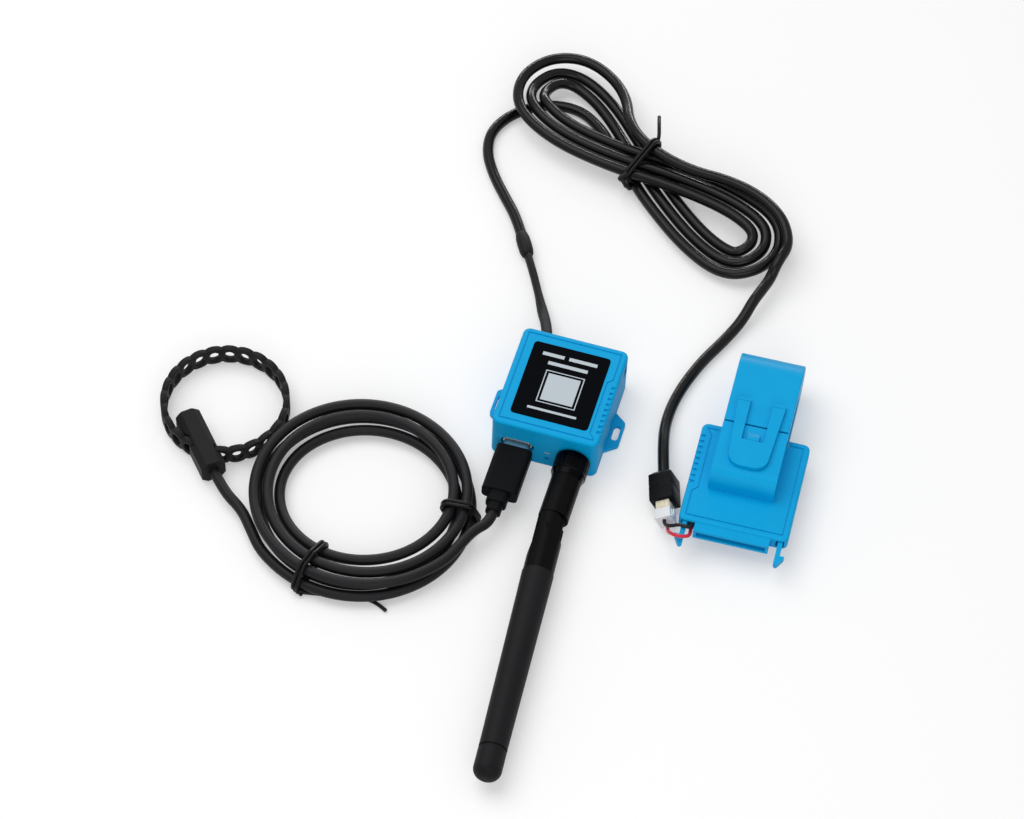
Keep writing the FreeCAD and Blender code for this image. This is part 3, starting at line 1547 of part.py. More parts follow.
def hank_stations():
    """Three crossed turns, widening on the left, narrowing on the right, and one pass over."""
    stations = []
    cross = hank_cross_angle
    mid = (hank_turns - 1) / 2
    middle_z = (hank_low + hank_high) / 2
    swing = hank_left_swing
    first = (0 - mid) * hank_pitch
    way = math.radians(-cross)
    entry_x = -math.cos(way) * hank_entry - math.sin(way) * first
    entry_y = -math.sin(way) * hank_entry + math.cos(way) * first
    stations.append(hank_world(entry_x, entry_y, hank_low, -cross))
    for k in range(hank_turns):
        right = hank_right_half - k * hank_pitch
        left = hank_left_half + k * hank_pitch
        offset = (k - mid) * hank_pitch
        last = k == hank_turns - 1
        tip_z = hank_high if last else middle_z
        back_z = hank_high if last else hank_low
        stations.append(waist_station(offset, -cross, hank_low))
        stations.append(hank_world(hank_right_cap, -right, hank_low, 0))
        stations.append(hank_world(hank_right_cap + right, 0, middle_z, 90))
        stations.append(hank_world(hank_right_cap, right, hank_high, 180))
        stations.append(waist_station(offset, 180 + cross, hank_high))
        stations.append(hank_world(-hank_left_cap, -left, hank_high, 180, swing))
        stations.append(hank_world(-hank_left_cap - left, 0, tip_z, 90, swing))
        stations.append(hank_world(-hank_left_cap, left, back_z, 0, swing))
    stations.append(hank_world(0, hank_top_pass, hank_third, 0))
    stations.append(hank_world(hank_right_cap, hank_right_half, hank_third, 0))
    outer = hank_right_cap + hank_right_half + hank_pitch
    levels = [(hank_high + hank_third) / 2, middle_z]
    for (out, along, heading), level in zip(hank_over, levels):
        stations.append(hank_world(outer + out, along, level, heading))
    return stations


def make_hank_edges():
    stations = hank_stations()
    first, first_way = stations[0]
    last, last_way = stations[-1]
    lead_in = Part.LineSegment(first - first_way * extension_diameter, first).toShape()
    lead_out = Part.LineSegment(last, last + last_way * extension_diameter).toShape()
    return [lead_in] + wound_edges(stations) + [lead_out], stations


# Building every node

def build():
    os.makedirs("parts", exist_ok=True)
    save("upper_housing", make_upper_housing())
    save("bottom_cover", make_bottom_cover())
    save("housing_screws", make_housing_screws())
    save("face_label", make_face_label())
    save("main_board", make_main_board())
    save("radio_module", make_radio_module())
    save("storage_capacitors", make_storage_capacitors())
    save("lead_terminal", make_lead_terminal())
    save("usb_port", make_usb_port())
    save("reset_switch", make_reset_switch())
    save("reset_button", make_reset_button())
    save("status_light_pipe", make_light_pipe())
    save("antenna_jack", make_antenna_jack())
    save("antenna_jack_nut", make_jack_nut())
    save("antenna_nut", make_antenna_nut())
    save("antenna_stem", make_antenna_stem())
    save("antenna_hinge_pin", tilted(make_hinge_pin()))
    save("antenna_knuckle", tilted(make_antenna_knuckle()))
    save("whip_sleeve", tilted(make_whip_sleeve()))
    save("whip_tip", tilted(make_whip_tip()))
    save("whip_radiator", tilted(make_radiator()))
    cover = make_clamp_cover().fuse(make_spigot_lip()).removeSplitter()
    save("clamp_cover", at_clamp(one_solid(cover)))
    save("clamp_tray", at_clamp(make_clamp_tray()))
    save("lower_core", at_clamp(make_lower_core()))
    save("winding_bobbin", at_clamp(make_bobbin()))
    save("secondary_winding", at_clamp(make_winding()))
    save("upper_jaw", at_clamp(make_upper_jaw()))
    save("upper_core", at_clamp(make_upper_core()))
    save("jaw_hinge_pins", make_hinge_pins())
    save("latch_tab", at_clamp(make_latch_tab()))
    save("snap_leg_left", at_clamp(make_snap_leg(-1)))
    save("snap_leg_right", at_clamp(make_snap_leg(1)))
    save("winding_terminal", at_clamp(make_winding_terminal()))
    save("lead_connector_block", make_connector_block())
    save("lead_header", connector_box(connector_point(block_length), header_size[2],
                                      header_size[0], header_size[1]))
    save("lead_plug", connector_box(connector_point(block_length + header_size[2]),
                                    wire_plug_size[2], wire_plug_size[0], wire_plug_size[1]))
    save("black_lead", cord_tube(black_lead_route, 2 * lead_radius, "black_lead"))
    save("red_lead", cord_tube(red_lead_route, 2 * lead_radius, "red_lead"))
    save("housing_lead", cord_tube(housing_lead_route, housing_lead_diameter, "housing_lead"))
    sleeve_start = housing_lead_route[-1]
    sleeve_run = housing_cable_route[0] - sleeve_start
    sleeve_length_mm = sleeve_run.Length
    save("shrink_sleeve", rod(sleeve_start, sleeve_run, shrink_diameter / 2, sleeve_length_mm))
    hank_edges, hank_points = make_hank_edges()
    least_gap(hank_edges, extension_diameter, "cable_hank")
    save("cable_hank", tube_on(hank_edges, extension_diameter, "cable_hank"))
    hank_start = hank_points[0][0] - hank_points[0][1] * extension_diameter
    hank_finish = hank_points[-1][0] + hank_points[-1][1] * extension_diameter
    in_route = housing_cable_route + [hank_start - hank_points[0][1] * hank_run_in, hank_start]
    save("housing_cable", cord_tube(in_route, extension_diameter, "housing_cable"))
    out_route = [hank_finish, hank_finish + hank_points[-1][1] * hank_run_out] + clamp_cable_tail
    save("clamp_cable", cord_tube(out_route, extension_diameter, "clamp_cable"))
    waist = FreeCAD.Rotation(V(0, 0, 1), hank_axis_angle)
    across = waist.multVec(V(0, 1, 0))
    tie_origin = hank_centre + across * -hank_tie_reach + waist.multVec(V(hank_tie_shift, 0, 0))
    save("hank_tie", tie_round(hank_edges, tie_origin, across, extension_diameter,
                               hank_tie_gap, tie_diameter))
    coil_edges, coil_points = make_coil_edges()
    least_gap(coil_edges, probe_diameter, "probe_coil")
    save("probe_coil", tube_on(coil_edges, probe_diameter, "probe_coil"))
    coil_start = coil_points[0][0] - coil_points[0][1] * probe_diameter
    coil_finish = coil_points[-1][0] + coil_points[-1][1] * probe_diameter
    plug_route = [plug_end(), plug_end() + V(0, -plug_cable_run, 0),
                  coil_start - coil_points[0][1] * coil_run_in, coil_start]
    save("plug_cable", cord_tube(plug_route, probe_diameter, "plug_cable"))
    head_route = [coil_finish, coil_finish + coil_points[-1][1] * coil_run_out,
                  probe_near - probe_axis() * probe_run_in, probe_near]
    save("probe_cable", cord_tube(head_route, probe_diameter, "probe_cable"))
    for name, angle in (("coil_tie_right", coil_tie_angles[0]), ("coil_tie_left", coil_tie_angles[1])):
        way = math.radians(angle)
        out = V(math.cos(way), math.sin(way), 0)
        save(name, tie_round(coil_edges, coil_centre, out, probe_diameter, soft_gap, tie_diameter))
    save("usb_plug_body", make_plug_body())
    save("usb_plug_shell", make_plug_shell())
    save("probe_head", make_probe_head())
    save("temperature_sensor", make_temperature_sensor())
    save("probe_strap", make_strap())


build()
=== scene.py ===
"""Dresses a clamp-on current sensor set: unit, whip, split clamp, cables and probe."""

from itertools import product
from math import atan2, cos, hypot, pi, radians, sin, sqrt

import bmesh
import bpy
from bpy.props import FloatProperty, FloatVectorProperty, IntProperty, PointerProperty
from mathutils import Matrix, Vector


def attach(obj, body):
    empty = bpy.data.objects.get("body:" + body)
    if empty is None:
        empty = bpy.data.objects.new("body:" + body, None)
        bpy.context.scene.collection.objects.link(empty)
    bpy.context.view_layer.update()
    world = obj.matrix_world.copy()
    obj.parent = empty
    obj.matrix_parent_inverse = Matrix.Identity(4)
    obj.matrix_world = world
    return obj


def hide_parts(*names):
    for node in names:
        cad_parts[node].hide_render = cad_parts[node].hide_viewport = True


bl_info = {
    "name": "Current sensor set",
    "version": (1, 0, 0),
    "blender": (4, 5, 0),
    "location": "View3D > Sidebar > Sensor Set",
    "description": "Builds the looks of a clamp-on current sensor with its cables and probe",
    "category": "Object",
}

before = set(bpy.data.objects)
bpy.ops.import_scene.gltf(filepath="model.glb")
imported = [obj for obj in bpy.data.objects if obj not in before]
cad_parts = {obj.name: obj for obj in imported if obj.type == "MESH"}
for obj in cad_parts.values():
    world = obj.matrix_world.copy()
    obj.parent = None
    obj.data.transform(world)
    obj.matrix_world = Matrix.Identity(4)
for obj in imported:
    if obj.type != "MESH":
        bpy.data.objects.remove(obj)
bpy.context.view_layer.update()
MM = 0.001


# Shader maths

def feed(tree, slot, value):
    """Links a socket into a slot, or sets the slot's own value."""
    if isinstance(value, Value):
        value = value.socket
    if isinstance(value, bpy.types.NodeSocket):
        tree.links.new(value, slot)
    elif slot.type == "RGBA":
        slot.default_value = tuple(value)[:3] + (1.0,)
    else:
        slot.default_value = value


def new_node(tree, kind, settings=None, **inputs):
    """A node with its settings and inputs, where Specular_Level is the input Specular Level."""
    node = tree.nodes.new(kind)
    for key, value in (settings or {}).items():
        setattr(node, key, value)
    for key, value in inputs.items():
        feed(tree, node.inputs[key.replace("_", " ")], value)
    return node


class Value:
    """A node socket that takes part in Python arithmetic."""

    def __init__(self, tree, socket):
        self.tree = tree
        self.socket = socket

    def _math(self, operation, *operands):
        node = new_node(self.tree, "ShaderNodeMath", {"operation": operation})
        for slot, operand in zip(node.inputs, operands):
            feed(self.tree, slot, operand)
        return Value(self.tree, node.outputs[0])

    def _operator(name, swap=False):
        def method(self, other):
            return self._math(name, *((other, self) if swap else (self, other)))
        return method

    __add__ = _operator("ADD")
    __radd__ = _operator("ADD", swap=True)
    __sub__ = _operator("SUBTRACT")
    __mul__ = _operator("MULTIPLY")
    __rmul__ = _operator("MULTIPLY", swap=True)
    __rtruediv__ = _operator("DIVIDE", swap=True)
    __lt__ = _operator("LESS_THAN")
    most = _operator("MAXIMUM")

    def __abs__(self):
        return self._math("ABSOLUTE", self)


def seen_plainly(tree):
    """One for rays of the camera, of reflections and through clear pieces, else zero."""
    path = tree.nodes.new("ShaderNodeLightPath")
    camera, glossy, clear = (Value(tree, path.outputs[name]) for name in (
        "Is Camera Ray", "Is Glossy Ray", "Is Transmission Ray"))
    return camera.most(glossy).most(clear)


class Finish:
    """One material and the few node calls that its pattern needs."""

    def __init__(self, name, colour, roughness=0.5, **sockets):
        self.material = bpy.data.materials.new(name)
        self.material.use_nodes = True
        self.tree = self.material.node_tree
        self.shader = next(n for n in self.tree.nodes if n.type == "BSDF_PRINCIPLED")
        self.set("Base Color", colour)
        self.set("Roughness", roughness)
        for socket, value in sockets.items():
            self.set(socket.replace("_", " "), value)
        self.place = self.node("ShaderNodeTexCoord").outputs["Object"]

    def set(self, socket, value):
        feed(self.tree, self.shader.inputs[socket], value)

    def node(self, kind, settings=None, **inputs):
        return new_node(self.tree, kind, settings, **inputs)

    def noise(self, scale, detail=3.0, roughness=0.55, stretch=None):
        place = self.place
        if stretch:
            place = self.node("ShaderNodeMapping", Vector=place, Scale=stretch).outputs[0]
        node = self.node("ShaderNodeTexNoise", Vector=place, Scale=scale, Detail=detail,
                         Roughness=roughness)
        return Value(self.tree, node.outputs["Fac"])

    def axes(self):
        split = self.node("ShaderNodeSeparateXYZ", Vector=self.place)
        return [Value(self.tree, out) for out in split.outputs]

    def blend(self, factor, low, high):
        mix = self.node("ShaderNodeMix", {"data_type": "RGBA"})
        slots = [mix.inputs[0]] + [s for s in mix.inputs if s.type == "RGBA"]
        for slot, value in zip(slots, (factor, low, high)):
            feed(self.tree, slot, value)
        return next(s for s in mix.outputs if s.type == "RGBA")

    def tint(self, factor, low, high):
        self.set("Base Color", self.blend(factor, low, high))

    def bump(self, height, strength=0.2, distance=0.0002):
        node = self.node("ShaderNodeBump", Height=height, Strength=strength, Distance=distance)
        self.set("Normal", node.outputs[0])


def shade(colour, share):
    return tuple(min(1.0, channel * share) for channel in colour[:3])


def moulded(name, colour, roughness=0.42, grain=9000.0, depth=0.00003, shine=0.1):
    """Spark-grained plastic: faint mottling, uneven polish and a fine grain."""
    finish = Finish(name, colour, roughness, Specular_IOR_Level=shine)
    cloud = finish.noise(160.0, 4.0)
    fine = finish.noise(grain, 2.0)
    finish.tint(cloud, shade(colour, 0.93), shade(colour, 1.05))
    finish.set("Roughness", roughness - 0.07 + 0.14 * cloud + 0.06 * fine)
    finish.bump(fine, 0.35, depth)
    return finish


def jacketed(name, colour, roughness=0.38, specular=0.28, grain=0.25):
    """Extruded cable jacket: soft shine with long faint unevenness."""
    finish = Finish(name, colour, roughness, Specular_IOR_Level=specular)
    slow = finish.noise(90.0, 3.0)
    fine = finish.noise(2600.0, 2.0)
    finish.tint(slow, shade(colour, 0.8), shade(colour, 1.3))
    finish.set("Roughness", roughness - 0.08 + 0.18 * slow)
    finish.bump(fine * 0.6 + slow * 0.4, grain, 0.00006)
    return finish


def metal(name, colour, roughness=0.3, brushed=(40.0, 40.0, 1.0)):
    """Drawn or turned metal with fine lines and a little tarnish."""
    finish = Finish(name, colour, roughness, Metallic=1.0)
    lines = finish.noise(600.0, 3.0, stretch=brushed)
    spots = finish.noise(350.0, 4.0)
    finish.tint(spots, shade(colour, 0.82), colour)
    finish.set("Roughness", roughness - 0.06 + 0.16 * lines)
    finish.bump(lines, 0.12, 0.00003)
    return finish


# Mesh helpers

SQUARE = ((-1, -1), (1, -1), (1, 1), (-1, 1))


def new_object(name, data):
    made = bpy.data.objects.new(name, data)
    bpy.context.scene.collection.objects.link(made)
    return made


def mesh_piece(name, points, faces, smooth=True):
    mesh = bpy.data.meshes.new(name)
    mesh.from_pydata([tuple(p) for p in points], [], faces)
    mesh.update()
    piece = new_object(name, mesh)
    tidy_normals(piece)
    for face in mesh.polygons:
        face.use_smooth = smooth
    return piece


def tidy_normals(piece):
    work = bmesh.new()
    work.from_mesh(piece.data)
    bmesh.ops.remove_doubles(work, verts=work.verts, dist=1e-7)
    bmesh.ops.recalc_face_normals(work, faces=work.faces)
    work.to_mesh(piece.data)
    work.free()


def join_pieces(name, pieces):
    """One mesh from several pieces."""
    work = bmesh.new()
    for piece in pieces:
        work.from_mesh(piece.data)
        bpy.data.objects.remove(piece)
    mesh = bpy.data.meshes.new(name)
    work.to_mesh(mesh)
    work.free()
    return new_object(name, mesh)


def bevel(piece, width, segments=3, angle=30.0):
    step = piece.modifiers.new("edge", "BEVEL")
    step.width = width
    step.segments = segments
    step.limit_method = "ANGLE"
    step.angle_limit = radians(angle)
    settle(piece)


def settle(piece):
    """Turns a piece with modifiers into a plain mesh."""
    graph = bpy.context.evaluated_depsgraph_get()
    graph.update()
    mesh = bpy.data.meshes.new_from_object(piece.evaluated_get(graph))
    piece.modifiers.clear()
    piece.data = mesh


def soften(piece, angle=35.0):
    for face in piece.data.polygons:
        face.use_smooth = True
    piece.data.set_sharp_from_angle(angle=radians(angle))


def dress(piece, key, slot, *nodes):
    """Gives a piece its finish, its body and the nodes that it replaces; the slot is not used."""
    piece.data.materials.clear()
    piece.data.materials.append(finishes()[key].material)
    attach(piece, "fixed_set")
    if nodes:
        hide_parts(*nodes)


def ring_faces(rows, count):
    """Faces between neighbouring rings of a skin."""
    faces = []
    for i in range(rows - 1):
        for j in range(count):
            k = (j + 1) % count
            faces.append((i * count + j, i * count + k, (i + 1) * count + k, (i + 1) * count + j))
    return faces


def end_faces(rows, count):
    return [tuple(range(count)), tuple(range((rows - 1) * count, rows * count))]


def frames_along(points):
    """Unit headings and steady side vectors for a path of points."""
    last = len(points) - 1
    headings = [(points[min(i + 1, last)] - points[max(i - 1, 0)]).normalized()
                for i in range(last + 1)]
    side = headings[0].orthogonal().normalized()
    flat = headings[0].cross(UP)
    if flat.length > 0.2:
        side = flat.normalized()
    sides = []
    for heading in headings:
        side = (side - heading * side.dot(heading)).normalized()
        sides.append(side.copy())
    return headings, sides


def swept(name, points, section, closed=False, turn=None):
    """A closed skin round a path; section is a list of (side, up) offsets."""
    headings, sides = frames_along(points)
    if closed:
        headings[0] = headings[-1] = (points[1] - points[-2]).normalized()
    ring = len(section)
    skin = []
    for i, (point, heading, side) in enumerate(zip(points, headings, sides)):
        up = side.cross(heading).normalized()
        angle = turn(i / (len(points) - 1)) if turn else 0.0
        c, s = cos(angle), sin(angle)
        for a, b in section:
            skin.append(point + side * (a * c - b * s) + up * (a * s + b * c))
    faces = ring_faces(len(points), ring)
    if not closed:
        faces += end_faces(len(points), ring)
    return mesh_piece(name, skin, faces)


def circle_section(radius, count=12):
    return [(radius * cos(2 * pi * i / count), radius * sin(2 * pi * i / count))
            for i in range(count)]


def oval_section(width, height, count=6):
    """A stadium section with half-round sides."""
    radius = height / 2
    reach = width / 2 - radius
    section = []
    for side, start in ((1, -90), (-1, 90)):
        for i in range(count + 1):
            angle = radians(start + 180 * i / count)
            section.append((side * reach + radius * cos(angle), radius * sin(angle)))
    return section


def lathed(name, start, heading, profile, count=32):
    """Turns a profile of (along, radius) about an axis."""
    heading = Vector(heading).normalized()
    side = heading.orthogonal().normalized()
    up = heading.cross(side)
    skin = []
    for along, radius in profile:
        for i in range(count):
            angle = 2 * pi * i / count
            skin.append(start + heading * along + (side * cos(angle) + up * sin(angle)) * radius)
    rows = len(profile)
    return mesh_piece(name, skin, ring_faces(rows, count) + end_faces(rows, count))


def box_piece(name, low, high, place):
    points = [place @ Vector(corner) for corner in product(*zip(low, high))]
    faces = [(0, 1, 3, 2), (4, 6, 7, 5), (0, 4, 5, 1), (2, 3, 7, 6), (0, 2, 6, 4), (1, 5, 7, 3)]
    return mesh_piece(name, points, faces, smooth=False)


def spline_curve(name, points, radius, resolution=10):
    """A cord: one NURBS spline whose control points are the route."""
    curve = bpy.data.curves.new(name, "CURVE")
    curve.dimensions = "3D"
    curve.bevel_depth = radius
    curve.bevel_resolution = 5
    curve.use_fill_caps = True
    spline = curve.splines.new("NURBS")
    spline.points.add(len(points) - 1)
    for target, point in zip(spline.points, points):
        target.co = (*point, 1.0)
    spline.order_u = 3
    spline.use_endpoint_u = True
    spline.resolution_u = resolution
    return new_object(name, curve)


def points_on(route, resolution=12):
    """Points of the smooth line of a route, for pieces made along it."""
    guide = spline_curve("guide", route, 0.0, resolution)
    guide.data.use_fill_caps = False
    graph = bpy.context.evaluated_depsgraph_get()
    mesh = bpy.data.meshes.new_from_object(guide.evaluated_get(graph))
    line = [v.co.copy() for v in mesh.vertices]
    bpy.data.objects.remove(guide)
    bpy.data.meshes.remove(mesh)
    return line


# Places shared by the pieces, in millimetres

EXTENSION_DIAMETER = 3.5
PROBE_DIAMETER = 3.3
LEAD_DIAMETER = 1.1
TIE_DIAMETER = 1.4
WIRE = TIE_DIAMETER * 0.85

UNIT_LEAD_ROUTE = [
    (-10.5, 17.6, 7.0), (-10.5, 22.5, 7.0), (-12.4, 28.6, 5.2), (-15.8, 35.6, 2.6),
    (-18.9, 42.2, 1.75), (-22.74, 49.35, 2.35), (-25.9, 54.8, 2.35)]
UNIT_CABLE_ROUTE = [
    (-30.3, 62.4, 2.35), (-33.81, 68.45, 2.35), (-39.6, 75.6, 1.75), (-45.6, 83.1, 1.75),
    (-50.3, 91.3, 1.75), (-51.6, 100.4, 1.75), (-46.9, 109.8, 1.75), (-37.4, 116.8, 1.75),
    (-26.4, 117.6, 1.9), (-17.9, 111.2, 2.8)]
CLAMP_CABLE_ROUTE = [
    (44.8, 49.6, 3.0), (41.2, 41.4, 1.75), (36.4, 31.2, 1.75), (32.6, 18.0, 1.75),
    (31.8, 5.6, 2.6), (34.19, -6.36, 5.0), (36.6, -14.3, 5.0)]
BLACK_LEAD_ROUTE = [
    (41.01, -30.73, 6.18), (41.51, -32.39, 6.18), (43.4, -33.6, 8.2), (46.4, -33.7, 10.75),
    (48.9, -33.9, 10.4), (49.47, -32.5, 9.32), (49.38, -30.26, 9.32)]
RED_LEAD_ROUTE = [
    (42.06, -30.41, 3.82), (42.65, -32.37, 3.82), (43.6, -36.2, 8.8), (46.4, -38.6, 11.8),
    (49.5, -37.3, 10.8), (49.75, -34.8, 8.6), (49.48, -32.6, 7.98), (49.38, -30.26, 7.98)]
PROBE_NEAR = Vector((-92.3, -52.9, 4.3))
PROBE_FAR = Vector((-106.7, -36.6, 4.3))
PLUG_END = Vector((-8.1, -43.95, 7.0))
PLUG_RUN = Vector((0, -3.6, 0))
PROBE_RUN = 8
UP = Vector((0, 0, 1))


def metres(route):
    return [Vector(point) * MM for point in route]


def placed(start, axes, offsets):
    """The point at the given offsets from a start, each along its own axis."""
    point = start.copy()
    for axis, offset in zip(axes, offsets):
        point += axis * offset
    return point


# Coil and hank: control points of their turns, by the rule of their windings, in millimetres

def bend_points(stations):
    """Two control points for each stretch between neighbouring stations."""
    points = []
    for (p0, t0), (p1, t1) in zip(stations, stations[1:]):
        gap = p1 - p0
        both = t0 + t1
        a = 2 * (1 - t0.dot(t1))
        b = 2 * gap.dot(both)
        c = -gap.dot(gap)
        reach = -c / b if abs(a) < 1e-9 else (-b + sqrt(b * b - 4 * a * c)) / (2 * a)
        points += [p0 + t0 * reach, p1 - t1 * reach]
    return points


def ramp(value, start, span):
    """A smooth rise from zero to one that begins at start."""
    share = min(1.0, max(0.0, (value - start) / span))
    return share * share * (3 - 2 * share)


def wound(stations, runs_in, runs_out):
    """Control points of a winding and of the straight runs before and after it."""
    start, start_way = stations[0]
    end, end_way = stations[-1]
    return ([start - start_way * run for run in runs_in] + bend_points(stations)
            + [end + end_way * run for run in runs_out])


COIL_CENTRE = Vector((-46.8, -48.8, 0.0))
COIL_RADIUS = 33.3
COIL_PITCH = 3.9
COIL_START = radians(-20.0)
COIL_IN = 2.0
COIL_TOTAL = 4.34
COIL_LOW = 3.35
COIL_STRETCH = 1.03
COIL_STATIONS = 8
COIL_RUNS = (8.0, 2.0), (2.0, 9.5)

# Changes on the way out, as start and span in turns past the innermost place
COIL_DROP = (0.0, 0.5)
COIL_TUCK = (-0.1, 0.3)
COIL_UNTUCK = (0.45, 0.4)
COIL_SHIFT = (0.28, 0.4)
TUCK_DEPTH = 1.3
SHIFT_REACH = 1.1


def coil_point(turns):
    """A place on the coil, which winds inwards above and outwards on the layer below."""
    past = turns - COIL_IN
    down, tuck, untuck, shift = (ramp(past, *change) for change in (
        COIL_DROP, COIL_TUCK, COIL_UNTUCK, COIL_SHIFT))
    outward = COIL_PITCH * (COIL_TOTAL - turns)
    deepest = COIL_PITCH * COIL_IN
    offset = COIL_PITCH * turns if turns <= COIL_IN else deepest + (outward - deepest) * down
    radius = COIL_RADIUS - offset - TUCK_DEPTH * tuck * (1 - untuck)
    angle = COIL_START - 2 * pi * turns
    return COIL_CENTRE + Vector((COIL_STRETCH * radius * cos(angle),
                                 radius * sin(angle) + SHIFT_REACH * (1 - 2 * shift),
                                 COIL_LOW + COIL_PITCH * (1 - down)))


def coil_stations():
    count = round(COIL_TOTAL * COIL_STATIONS)
    nudge = 1e-4
    turns = [COIL_TOTAL * i / count for i in range(count + 1)]
    return [(coil_point(at), (coil_point(at + nudge) - coil_point(at - nudge)).normalized())
            for at in turns]


HANK_CENTRE = Vector((0.5, 96.4, 0.0))
HANK_TURN = -26.5
HANK_TURNS = 3
HANK_PITCH = 4.3
HANK_CROSS = 22.0
HANK_LEVELS = (3.7, 7.8, 11.9)
HANK_START = -6
RIGHT_CAP, RIGHT_HALF = 39.2, 13.4
LEFT_CAP, LEFT_HALF, LEFT_SWING = 37.5, 7.5, -7.0
TOP_PASS = 4.6
HANK_RUNS = (9.5, 2.0), (3.0, 8.0)

# The last two stations: past the right end, across it, and the heading in degrees
HANK_EXIT = (-1.0, 1.5, -78), (1.0, -8, -80)


def hank_station(x, y, z, heading, swing=0.0):
    """A place and heading, from the hank's axes (x along it, y across it) to the set's."""
    turn = Matrix.Rotation(radians(HANK_TURN + swing), 3, "Z")
    way = radians(heading)
    return (turn @ Vector((x, y, 0)) + HANK_CENTRE + UP * z,
            (turn @ Vector((cos(way), sin(way), 0))).normalized())


def waist_station(offset, heading, z, along=0.0):
    """A place on a strand through the waist, beside its middle line and along it."""
    way = radians(heading)
    return hank_station(-sin(way) * offset + cos(way) * along,
                        cos(way) * offset + sin(way) * along, z, heading)


def hank_stations():
    low, high, third = HANK_LEVELS
    middle = (low + high) / 2
    stations = [waist_station(-HANK_PITCH, -HANK_CROSS, low, HANK_START)]
    for k in range(HANK_TURNS):
        right = RIGHT_HALF - k * HANK_PITCH
        left = LEFT_HALF + k * HANK_PITCH
        offset = (k - 1) * HANK_PITCH
        last = k == HANK_TURNS - 1
        stations += [
            waist_station(offset, -HANK_CROSS, low),
            hank_station(RIGHT_CAP, -right, low, 0),
            hank_station(RIGHT_CAP + right, 0, middle, 90),
            hank_station(RIGHT_CAP, right, high, 180),
            waist_station(offset, 180 + HANK_CROSS, high),
            hank_station(-LEFT_CAP, -left, high, 180, LEFT_SWING),
            hank_station(-LEFT_CAP - left, 0, high if last else middle, 90, LEFT_SWING),
            hank_station(-LEFT_CAP, left, high if last else low, 0, LEFT_SWING)]
    stations += [hank_station(0, TOP_PASS, third, 0), hank_station(RIGHT_CAP, RIGHT_HALF, third, 0)]
    outer = RIGHT_CAP + RIGHT_HALF + HANK_PITCH
    for (past, across, heading), level in zip(HANK_EXIT, ((high + third) / 2, middle)):
        stations.append(hank_station(outer + past, across, level, heading))
    return stations


def extension_route():
    return metres(UNIT_CABLE_ROUTE + wound(hank_stations(), *HANK_RUNS) + CLAMP_CABLE_ROUTE)


def probe_route():
    toward = (PROBE_FAR - PROBE_NEAR).normalized()
    route = [PLUG_END, PLUG_END + PLUG_RUN] + wound(coil_stations(), *COIL_RUNS)
    route += [PROBE_NEAR - toward * PROBE_RUN, PROBE_NEAR]
    return metres(reversed(route))


# Settings

def colour_setting(name, description, default):
    return FloatVectorProperty(name=name, description=description, subtype="COLOR", size=3,
                               min=0, max=1, default=default)


class UnitSettings(bpy.types.PropertyGroup):
    case_blue: colour_setting(
        "Case blue", "Colour of the unit's and the clamp's mouldings", (0.0, 0.36, 0.715))
    label_black: colour_setting(
        "Label black", "Ground colour of the face label", (0.002, 0.0025, 0.0035))
    mark_white: colour_setting(
        "Label marks", "Colour of the label's plain marks", (0.52, 0.58, 0.63))
    whip_black: colour_setting(
        "Whip black", "Colour of the antenna's rubber", (0.006, 0.006, 0.007))


class CableSettings(bpy.types.PropertyGroup):
    jacket_black: colour_setting(
        "Jacket black", "Colour of the cable jackets", (0.004, 0.004, 0.005))
    lead_red: colour_setting("Lead red", "Colour of the red lead", (0.62, 0.02, 0.045))
    lead_width: FloatProperty(
        name="Flat lead width", description="Width of the flat lead at the unit",
        subtype="DISTANCE", default=0.0034, min=0.001)
    tie_turns: IntProperty(
        name="Tie twist", description="Turns of a tie's twisted knot", default=3, min=1, max=8)


class ProbeSettings(bpy.types.PropertyGroup):
    link_count: IntProperty(
        name="Strap links", description="Number of perforated links round the strap",
        default=24, min=8, max=60)
    rubber_black: colour_setting(
        "Probe rubber", "Colour of the probe's moulding and strap", (0.010, 0.010, 0.011))


class StageSettings(bpy.types.PropertyGroup):
    light_power: FloatProperty(
        name="Light power", description="Power of the overhead lamp, which the others share",
        subtype="POWER", default=4.2, min=0)
    room_light: FloatProperty(
        name="Room light", description="Strength of the even light from all round",
        default=0.62, min=0)


def settings(group):
    return getattr(bpy.context.scene, group)


# Finishes

# Marks of the label, in millimetres: middle x and y, half width and half height
LABEL_PANEL = (0.3, -1.7, 5.0, 5.0)
LABEL_BARS = (
    (-5.1, 10.0, 3.4, 0.62),
    (4.2, 10.0, 4.4, 0.62),
    (0.2, 7.0, 6.2, 0.62),
    (0.0, -10.3, 7.6, 0.42),
)
LABEL_FRAME = 5.9
LABEL_FRAME_LINE = 0.16


def label_finish():
    """Black film with a pale square panel in a thin frame, and short bars."""
    look = settings("sensor_unit")
    black = look.label_black
    finish = Finish("label_film", black, 0.3, Specular_IOR_Level=0.01)
    x, y = (axis * 1000.0 for axis in finish.axes()[:2])

    def bar(middle_x, middle_y, half_wide, half_tall):
        return (abs(x - middle_x) < half_wide) * (abs(y - middle_y) < half_tall)

    panel_x, panel_y = LABEL_PANEL[:2]
    beyond = (abs(x - panel_x) - LABEL_FRAME).most(abs(y - panel_y) - LABEL_FRAME)
    marks = bar(*LABEL_PANEL).most(abs(beyond) < LABEL_FRAME_LINE)
    for place in LABEL_BARS:
        marks = marks.most(bar(*place))
    speckle = finish.noise(2400.0, 2.0)
    ground = finish.blend(speckle, black, shade(black, 1.8))
    finish.tint(marks, ground, look.mark_white)
    finish.set("Roughness", 0.26 + 0.1 * speckle + 0.15 * marks)
    finish.bump(speckle * 0.3 + marks * 0.7, 0.15, 0.00002)
    return finish


